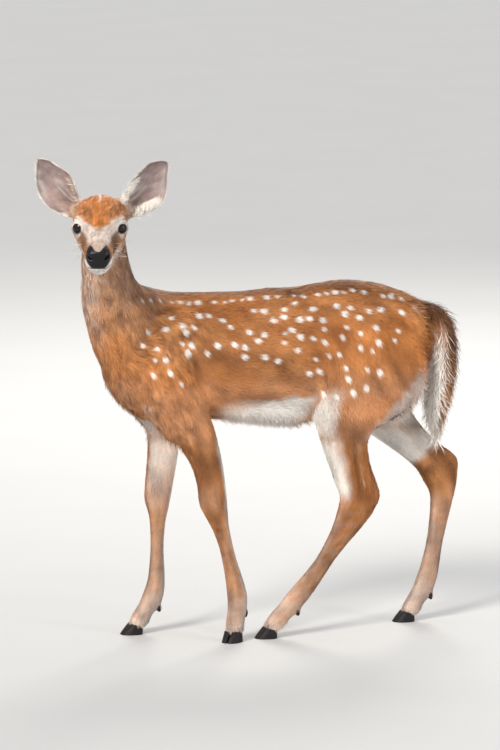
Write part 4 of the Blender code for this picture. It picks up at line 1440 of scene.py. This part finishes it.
def growCoat():
    depth, length, width, cover = zones.T
    density = cover / (length * width * tuftPlan["fill"])
    density = density * (1 - np.clip(bare[:, 1] * 1.4, 0, 1))
    density = density * (1 - ramp(-0.70, -0.90, normals[:, 2]) * (zoneNames[owner] == "foot"))
    picked, shares, roots, ups, uv = scatter(density)
    half, full = mixed(middles, picked, shares), mixed(tips, picked, shares)
    count = len(picked)
    lock, swirl = mixed(locks, picked, shares), mixed(swirls, picked, shares)
    strand = mixed(strands, picked, shares)
    bend = chance.normal(0, tuftPlan["swing"], count) + 0.22 * swirl
    size = chance.uniform(0.72, 1.12, count) * (1 + 0.14 * lock)
    half = turned(half, ups, bend) * size[:, None]
    full = turned(full, ups, bend * 1.25) * size[:, None]
    widths = mixed(width, picked, shares) * chance.uniform(0.75, 1.25, count)
    depths = mixed(depth, picked, shares) * (0.84 + 0.30 * lock)
    whose = owner[corners[picked, 0]]
    lie = unit(full)
    member = mixed(members, picked, shares)
    marks = [marksAt(roots + full * reach, ups, lie, member) for reach in (0.2, 0.5, 0.9)]
    lot = chance.random(count)
    tone = toneOf(roots, lock, strand)
    grown = 0
    for index, node in enumerate(fleshNames):
        mine = np.nonzero(whose == index)[0]
        if not len(mine):
            continue
        parts = math.ceil(len(mine) * 3 / tuftPlan["most"])
        cuts = np.array_split(mine[np.argsort(roots[mine, 0])], parts)
        for part, some in enumerate(cuts):
            name = "coat_" + node + (f"_{part + 1}" if parts > 1 else "")
            layTufts(
                name, roots[some], ups[some], half[some], full[some], widths[some], depths[some],
                uv[some], [m[some] for m in marks], lot[some], tone[some],
            )
            grown += len(some)
    print("coat grown:", grown, "tufts")


growCoat()

# Longer hair, where it breaks the outline or hangs: how many, length, width, how far it stands
# off, how much it splays, the way it hangs, that way's share against the coat's lie, how much of
# it is pressed back into the skin's surface, and how much of the white it keeps.
fringeFields = ("count", "length", "width", "depth", "splay", "way", "share", "press", "white")
fringePlan = {
    "belly": (3400, 0.020, 0.0010, 0.0050, 0.40, (0.35, 0, -1), 0.60, 0.40, 1),
    "chest": (1800, 0.024, 0.0011, 0.0060, 0.25, (0.10, 0, -1), 0.35, 0.50, 1),
    "elbow": (900, 0.015, 0.0009, 0.0060, 0.25, (-0.35, 0, -1), 0.45, 0.35, 1),
    "haunch": (1800, 0.024, 0.0011, 0.0065, 0.30, (0.65, 0, -0.8), 0.50, 0.60, 1),
    "rump": (1600, 0.026, 0.0011, 0.0080, 0.35, (0.9, 0, -0.3), 0.50, 0.60, 0.3),
    "tail": (3600, 0.042, 0.0012, 0.0120, 0.30, (0.10, 0, -1), 0.50, 0.70, 1),
    "hock": (500, 0.013, 0.0009, 0.0030, 0.50, (0.2, 0, -1), 0.40, 0.60, 1),
    "coronet": (2600, 0.0115, 0.0009, 0.0024, 0.20, (0, 0, -1), 0.75, 0.70, 1),
    "throat": (1200, 0.018, 0.0010, 0.0050, 0.25, (0, 0, -1), 0.45, 0.60, 1),
}


def fringePlaces():
    # Where each kind of longer hair grows, as a share at each point of the skin.
    x, y, z = (points - np.array(shift)).T
    nx, ny, nz = normals.T
    names = zoneNames[owner]
    trunk, neck, tail, foot, thigh = (names == n for n in ("trunk", "neck", "tail", "foot", "thigh"))
    tufts = np.zeros(len(points))
    for spot, size, share in darkTufts[:2]:
        tufts += bump(np.linalg.norm(points - np.array(drawn(*spot)), axis=1), size)
    front = dot(normals, unit(np.array(heading) + np.array((-1, 0, 0))))
    upper = (names == "shoulder") | (names == "forearm")
    return {
        "belly": trunk * ramp(-0.35, -0.85, nz) * ramp(-0.09, -0.05, x) * ramp(0.16, 0.12, x),
        "chest": (trunk | neck) * ramp(0.50, 0.46, z) * ramp(-0.1, -0.6, nz) * ramp(-0.12, -0.16, x),
        "elbow": upper * ramp(0.2, 0.7, -nx) * ramp(0.45, 0.42, z) * ramp(0.345, 0.375, z),
        "haunch": thigh * ramp(0.3, 0.8, nx) * ramp(0.39, 0.41, z),
        "rump": trunk * ramp(0.265, 0.29, x) * ramp(0.0, 0.6, nx + 0.4 * nz),
        "tail": tail * 1.0,
        "hock": tufts,
        "coronet": foot * ramp(0.034, 0.026, z) * ramp(-0.95, -0.80, nz),
        "throat": neck * ramp(0.72, 0.76, z) * ramp(0.0, 0.6, front),
    }


def growFringes():
    for name, share in fringePlaces().items():
        plan = dict(zip(fringeFields, fringePlan[name]))
        density = share * (1 - np.clip(bare[:, 1] * 1.4, 0, 1))
        picked, shares, roots, ups, uv = scatter(density * plan["count"] / total(density))
        count = len(picked)
        lie = unit(mixed(flow, picked, shares))
        way = lie * (1 - plan["share"]) + unit(np.array(plan["way"])) * plan["share"]
        way = unit(way - plan["press"] * ups * dot(way, ups)[:, None])
        way = turned(way, ups, chance.normal(0, plan["splay"], count))
        way = unit(way + chance.normal(0, 0.35 * plan["splay"], (count, 3)))
        reach = plan["length"] * chance.uniform(0.55, 1.15, count)
        half, full = unit(lie + way) * (reach / 2)[:, None], way * reach[:, None]
        marks = marksAt(roots, ups, lie, mixed(members, picked, shares))
        marks[:, 0] *= plan["white"]
        tone = np.clip(0.5 + 0.45 * mixed(locks, picked, shares), 0, 1)
        layTufts(
            "fringe_" + name, roots, ups, half, full, plan["width"] * chance.uniform(0.7, 1.2, count),
            plan["depth"] * chance.uniform(0.5, 1.2, count), uv, [marks, marks], chance.random(count), tone,
            longTuft,
        )


growFringes()
print("fringes grown")

whisker = ((0.0, 1.0), (0.2, 0.95), (0.4, 0.85), (0.6, 0.70), (0.8, 0.50), (1.0, 0.0))
hairPlan = {
    "ear": {"count": 1150, "length": 0.0150, "width": 0.0006},
    "whisker": {"count": 10, "length": 0.0370, "width": 0.00036, "brow": 3},
    "lash": {"count": 30, "length": 0.0062, "width": 0.00040},
}


def growEarHair():
    plan = hairPlan["ear"]
    isEar = zoneNames[owner] == "ear"
    s, t = earPlace(points, isEar)
    left = headPlace(points)[:, 1]
    for side, sign in (("left", 1), ("right", -1)):
        root, axis, face, edge = earAxes(sign)
        opened = ramp(0.0, 0.4, normals @ face)
        inner = ramp(-0.58 - 0.3 * s, -0.90, t) * ramp(0.56, 0.24, s)
        outer = 0.30 * ramp(0.72, 0.92, t) * ramp(0.50, 0.30, s) * (sign > 0)
        density = (inner + outer) * opened * isEar * (left * sign > 0) * ramp(0.02, 0.10, s)
        wanted = density * plan["count"] * (0.55 + 0.45 * sign)
        picked, shares, roots, ups, uv = scatter(wanted / total(density))
        count = len(picked)
        across = -np.sign(mixed(t, picked, shares))
        way = axis * 0.75 + edge * across[:, None] * 0.55 + chance.normal(0, 0.22, (count, 3))
        way = unit(way - ups * (dot(way, ups) - 0.30)[:, None])
        reach = plan["length"] * chance.uniform(0.5, 1.1, count)
        full = way * reach[:, None]
        half = unit(way + 0.25 * ups) * (reach / 2)[:, None]
        marks = np.tile((0.92 if sign > 0 else 0.55, 0.0, 0.1, 0.0, 0.0, 0.0), (count, 1))
        layTufts(
            "ear_hair_" + side, roots, ups, half, full, np.full(count, plan["width"]),
            np.full(count, 0.0010), uv, [marks, marks], chance.random(count), np.full(count, 0.7), longTuft,
        )


def nearestRoots(wanted):
    tree = treeOf(skin.data)
    hits = [tree.find_nearest(w) for w in wanted]
    return np.array([h[0] for h in hits]), np.array([h[1] for h in hits])


def growWhiskers():
    plan = hairPlan["whisker"]
    for side, sign in (("left", 1), ("right", -1)):
        places = []
        for _ in range(plan["count"]):  # on the lip
            places.append((chance.uniform(0.128, 0.178), 0.030 * sign, chance.uniform(-0.018, 0.002)))
        for _ in range(2):  # on the cheek
            places.append((chance.uniform(0.08, 0.11), 0.045 * sign, chance.uniform(-0.022, -0.010)))
        for _ in range(plan["brow"]):
            places.append((chance.uniform(0.085, 0.100), 0.036 * sign, 0.040))
        roots, ups = nearestRoots([onHead(*place) for place in places])
        count = len(roots)
        reach = plan["length"] * chance.uniform(0.45, 1.1, count)
        reach[-plan["brow"]:] *= 0.55
        back = -headTurn[0] * 0.10 + headTurn[1] * 0.85 * sign
        stray = chance.normal(0, 0.20, (count, 3))
        droop = np.array((0, 0, 1)) * chance.uniform(0.0, 0.75, count)[:, None]
        way = unit(back + stray - droop)
        full = way * reach[:, None]
        half = unit(way + ups * 0.6) * (reach / 2)[:, None]
        marks = np.tile((0.95, 0.0, 0.1, 0.0, 0.0, 0.0), (count, 1))
        uv = np.full((count, 2), 0.004)
        for turn in (0, 1):
            layTufts(
                f"whiskers_{side}_{turn + 1}", roots, ups, half, full, np.full(count, plan["width"]),
                np.zeros(count), uv, [marks, marks], np.full(count, 0.6), np.full(count, 0.7), whisker,
                spin=turn * math.pi / 2,
            )


def growLashes():
    plan = hairPlan["lash"]
    for side in ("left", "right"):
        axes = eyeAxes(side)
        share = np.linspace(-0.80, 0.72, plan["count"])
        along = share * eyePlan["halfLong"] + eyePlan["turn"]
        rise = eyePlan["above"] * np.sqrt(1 - np.abs(share) ** 2.3) + 0.06
        ups = np.stack((np.cos(rise) * np.cos(along), np.cos(rise) * np.sin(along), np.sin(rise)), 1) @ axes
        roots = np.array(eyeMiddle[side]) + ups * (skinPlan["eyeRadius"] + eyePlan["lidThick"] - 0.0004)
        count = len(roots)
        way = unit(ups * 0.9 - axes[2] * 0.25 + axes[1] * 0.2 + chance.normal(0, 0.12, (count, 3)))
        reach = plan["length"] * chance.uniform(0.7, 1.1, count)
        full = way * reach[:, None] + axes[2] * 0.0008
        half = unit(way - axes[2] * 0.35) * (reach / 2)[:, None]
        marks = np.tile((0.0, 0.3, 0.0, 0.0, 0.9, 0.0), (count, 1))
        spare = np.full(count, 0.5)
        layTufts(
            "lashes_" + side, roots, axes[2] + 0 * ups, half, full, np.full(count, plan["width"]),
            np.zeros(count), np.full((count, 2), 0.004), [marks, marks], spare, spare, longTuft,
        )


growEarHair()
growWhiskers()
growLashes()
print("ear hair, whiskers and lashes grown")

globePlan = {
    "iris": (0.016, 0.008, 0.005),
    "pupil": (0.003, 0.003, 0.004),
    "limbus": (0.006, 0.005, 0.005),
    "white": (0.045, 0.028, 0.022),
    "pupilHalf": (0.42, 0.26),  # of the globe's radius, along the lids and up them
    "segments": 48,
    "rings": 32,
    "corneaSteps": 5,
    "corneaFrom": 40,  # degrees from the middle, where the first of its steps rises
    "corneaStep": 7,
    "corneaRise": 0.00014,
}


def eyeFinish():
    finish = Finish("eye_wet", Roughness=0.05, Specular_IOR_Level=0.40)
    pupil, limbus, white = finish.split("iris")
    colour = finish.between(pupil, globePlan["iris"], globePlan["pupil"])
    colour = finish.between(limbus, colour, globePlan["limbus"])
    finish.drive("Base Color", finish.between(white, colour, globePlan["white"]))
    finish.bump(finish.noise(260, 2), 0.00004, 0.3)
    return finish.material


def makeEyes():
    # A globe with a clearer bulge in front, dark, with a lying pupil.
    wet = eyeFinish()
    radius = skinPlan["eyeRadius"]
    for side, sign in (("left", 1), ("right", -1)):
        axes = eyeAxes(side)
        turn = Matrix(np.column_stack((axes[1] * sign, axes[2], axes[0])).tolist())
        bpy.ops.object.select_all(action="DESELECT")
        bpy.ops.mesh.primitive_uv_sphere_add(
            segments=globePlan["segments"], ring_count=globePlan["rings"], radius=radius
        )
        eye = bpy.context.active_object
        for step in range(globePlan["corneaSteps"]):  # the cornea rises in rings towards its middle
            bpy.ops.object.mode_set(mode="EDIT")
            bpy.ops.mesh.select_mode(type="VERT")
            bpy.ops.mesh.select_all(action="DESELECT")
            bpy.ops.object.mode_set(mode="OBJECT")
            wide = globePlan["corneaFrom"] - globePlan["corneaStep"] * step
            limit = math.cos(math.radians(wide)) * radius
            for vertex in eye.data.vertices:
                vertex.select = vertex.co.z > limit
            bpy.ops.object.mode_set(mode="EDIT")
            bpy.ops.transform.translate(value=(0, 0, globePlan["corneaRise"]))
            bpy.ops.object.mode_set(mode="OBJECT")
        eye.data.transform(Matrix.Translation(eyeMiddle[side]) @ turn.to_4x4())
        eye.name = eye.data.name = "eye_globe_" + side
        away = pointsOf(eye.data) - np.array(eyeMiddle[side])
        out, front, lid = (away @ axes.T).T / radius
        long, high = globePlan["pupilHalf"]
        pupil = ramp(1.08, 0.92, np.hypot(front / long, lid / high)) * (out > 0)
        off = np.hypot(front, lid)
        storeVector(eye.data, "iris", np.stack((pupil, ramp(0.56, 0.66, off), ramp(0.86, 0.92, off)), 1))
        eye.data.shade_smooth()
        eye.data.materials.append(wet)
        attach(eye, "root")
        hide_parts("eye_" + side)
    print("eyes made")


makeEyes()

hoofPlan = {
    "edge": 0.0011,  # how wide the edges are eased
    "sharp": 24,  # from what angle, in degrees
    "dark": (0.004, 0.004, 0.005),
    "worn": (0.020, 0.016, 0.014),
}


def hornFinish():
    finish = Finish("hoof_horn", Specular_IOR_Level=0.24)
    place = finish.add("ShaderNodeTexCoord").outputs["Object"]
    rings = finish.add(
        "ShaderNodeTexWave", {"wave_type": "BANDS", "bands_direction": "Z"},
        {"Vector": place, "Scale": 130, "Distortion": 3.0, "Detail": 2.0},
    )
    bands = Signal(finish, rings.outputs["Fac"])
    wear = finish.noise(240, 4)
    colour = finish.between(wear * 0.8 + bands * 0.2, hoofPlan["dark"], hoofPlan["worn"])
    finish.drive("Base Color", colour)
    finish.drive("Roughness", 0.42 + wear * 0.25)
    finish.bump(bands * 0.6 + wear * 0.4, 0.0004, 0.7)
    return finish.material


horn = hornFinish()


def makeHooves():
    # Copies of the solids' hooves, with eased edges and a horn finish.
    for name in [n for n in nodes if n.startswith("hoof_")]:
        obj = bpy.data.objects.new("horn_" + name, nodes[name].data.copy())
        bpy.context.scene.collection.objects.link(obj)
        selectOnly(obj)
        bpy.ops.object.mode_set(mode="EDIT")
        bpy.ops.mesh.select_all(action="SELECT")
        bpy.ops.mesh.remove_doubles(threshold=0.00002)
        bpy.ops.mesh.normals_make_consistent(inside=False)
        bpy.ops.mesh.dissolve_limited(angle_limit=math.radians(1))
        bpy.ops.object.mode_set(mode="OBJECT")
        applyModifier(
            obj, "BEVEL", width=hoofPlan["edge"], segments=3, limit_method="ANGLE",
            angle_limit=math.radians(hoofPlan["sharp"]), use_clamp_overlap=True,
        )
        obj.data.shade_smooth()
        selectOnly(obj)
        bpy.ops.object.shade_smooth_by_angle(angle=math.radians(50))
        obj.data.materials.clear()
        obj.data.materials.append(horn)
        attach(obj, "root")
        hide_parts(name)
    print("hooves made")


makeHooves()

clawPlan = {
    "radius": 0.0056,
    "shape": (1.05, 0.92, 1.60),
    "steps": 5,  # it narrows ring by ring towards its tip
    "stepFrom": 0.0022,
    "stepDown": 0.0018,
    "narrow": (0.95, 0.93, 1.0),
    "narrowTo": (0.003, 0, 0),
    "behind": 0.0172,  # from the pastern's middle
    "aside": 0.0085,
    "below": 0.004,
    "tilt": 24,
}
# The pastern's place over each foot in the source's drawing, and the toes' heading.
dewclawPlan = {
    "front_left": ((-0.0385, -0.0553, 0.052), 48),
    "front_right": ((-0.1793, 0.0500, 0.052), 6),
    "hind_left": ((0.0563, -0.0492, 0.052), 4),
    "hind_right": ((0.3361, 0.0530, 0.052), 4),
}


def makeDewclaws():
    # Two small horns behind each pastern.
    plan = clawPlan
    tilt = Matrix.Rotation(math.radians(plan["tilt"]), 4, "Y")
    for foot, (pastern, toes) in dewclawPlan.items():
        turn = Matrix.Rotation(math.radians(180 + toes), 4, "Z")
        made = []
        for side in (-1, 1):
            bpy.ops.object.select_all(action="DESELECT")
            bpy.ops.mesh.primitive_uv_sphere_add(segments=20, ring_count=14, radius=plan["radius"])
            claw = bpy.context.active_object
            bpy.ops.object.mode_set(mode="EDIT")
            bpy.ops.transform.resize(value=plan["shape"])
            for step in range(plan["steps"]):
                bpy.ops.mesh.select_all(action="DESELECT")
                bpy.ops.object.mode_set(mode="OBJECT")
                for vertex in claw.data.vertices:
                    vertex.select = vertex.co.z < plan["stepFrom"] - plan["stepDown"] * step
                bpy.ops.object.mode_set(mode="EDIT")
                bpy.ops.transform.resize(value=plan["narrow"], center_override=plan["narrowTo"])
            bpy.ops.object.mode_set(mode="OBJECT")
            away = Vector((-plan["behind"], plan["aside"] * side, -plan["below"]))
            place = drawn(*pastern) + turn.to_3x3() @ away
            claw.data.transform(Matrix.Translation(place) @ turn @ tilt)
            made.append(claw)
        selectOnly(*made)
        bpy.ops.object.join()
        claws = bpy.context.view_layer.objects.active
        claws.name = claws.data.name = "dewclaws_" + foot
        claws.data.shade_smooth()
        claws.data.materials.append(horn)
        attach(claws, "root")
    print("dewclaws made")


makeDewclaws()

# Each lamp's kind, place, size, power and colour.
lampPlan = {
    "key": ("SUN", (-3.4, -3.2, 3.5), 0.30, 3.1, (1.0, 0.955, 0.89)),
    "fill": ("AREA", (3.4, -3.2, 1.6), 1.0, 52, (0.92, 0.96, 1.0)),
    "rim": ("AREA", (1.6, 3.6, 3.2), 1.6, 120, (1.0, 0.97, 0.92)),
}
lampAim = Vector((0, 0, 0.45))  # the animal's middle
skyPlan = {"colour": (0.93, 0.95, 1.0, 1), "strength": 0.64}
floorPlan = {"radius": 90, "dark": (0.54, 0.54, 0.53), "light": (0.57, 0.57, 0.56)}


def makeFloor():
    bpy.ops.object.select_all(action="DESELECT")
    bpy.ops.mesh.primitive_circle_add(vertices=96, radius=floorPlan["radius"], fill_type="NGON")
    floor = bpy.context.active_object
    floor.name = "floor"
    bpy.ops.object.transform_apply(location=True, rotation=True, scale=True)
    finish = Finish("floor_pale", Roughness=0.85)
    finish.drive("Base Color", finish.between(finish.noise(3), floorPlan["dark"], floorPlan["light"]))
    floor.data.materials.append(finish.material)


def makeLight():
    world = bpy.data.worlds.new("studio")
    bpy.context.scene.world = world
    world.use_nodes = True
    sky = world.node_tree.nodes["Background"]
    sky.inputs["Color"].default_value = skyPlan["colour"]
    sky.inputs["Strength"].default_value = skyPlan["strength"]
    for name, (kind, place, size, power, colour) in lampPlan.items():
        lamp = bpy.data.lights.new(name, kind)
        setattr(lamp, "angle" if kind == "SUN" else "size", size)
        lamp.energy, lamp.color = power, colour
        obj = bpy.data.objects.new(name, lamp)
        obj.location = place
        obj.rotation_euler = (lampAim - obj.location).to_track_quat("-Z", "Y").to_euler()
        bpy.context.scene.collection.objects.link(obj)


cameraPlan = {
    "azimuth": -14,  # degrees
    "elevation": 8,
    "distance": 10,
    "lens": 264.96,  # millimetres
    "sensor": 36,
    "aim": (0, 0, 0.476),
    "clip": 300,
}


def makeCamera():
    plan = cameraPlan
    turn, rise = math.radians(plan["azimuth"]), math.radians(plan["elevation"])
    back = Vector((math.sin(turn) * math.cos(rise), -math.cos(turn) * math.cos(rise), math.sin(rise)))
    data = bpy.data.cameras.new("camera")
    data.lens, data.sensor_width = plan["lens"], plan["sensor"]
    data.clip_end = plan["clip"]
    camera = bpy.data.objects.new("camera", data)
    bpy.context.scene.collection.objects.link(camera)
    camera.location = drawn(*plan["aim"]) + back * plan["distance"]
    camera.rotation_mode = "QUATERNION"
    camera.rotation_quaternion = (-back).to_track_quat("-Z", "Y")
    bpy.context.scene.camera = camera


makeFloor()
makeLight()
makeCamera()
bpy.context.scene.view_settings.view_transform = "Standard"
print("stage set")
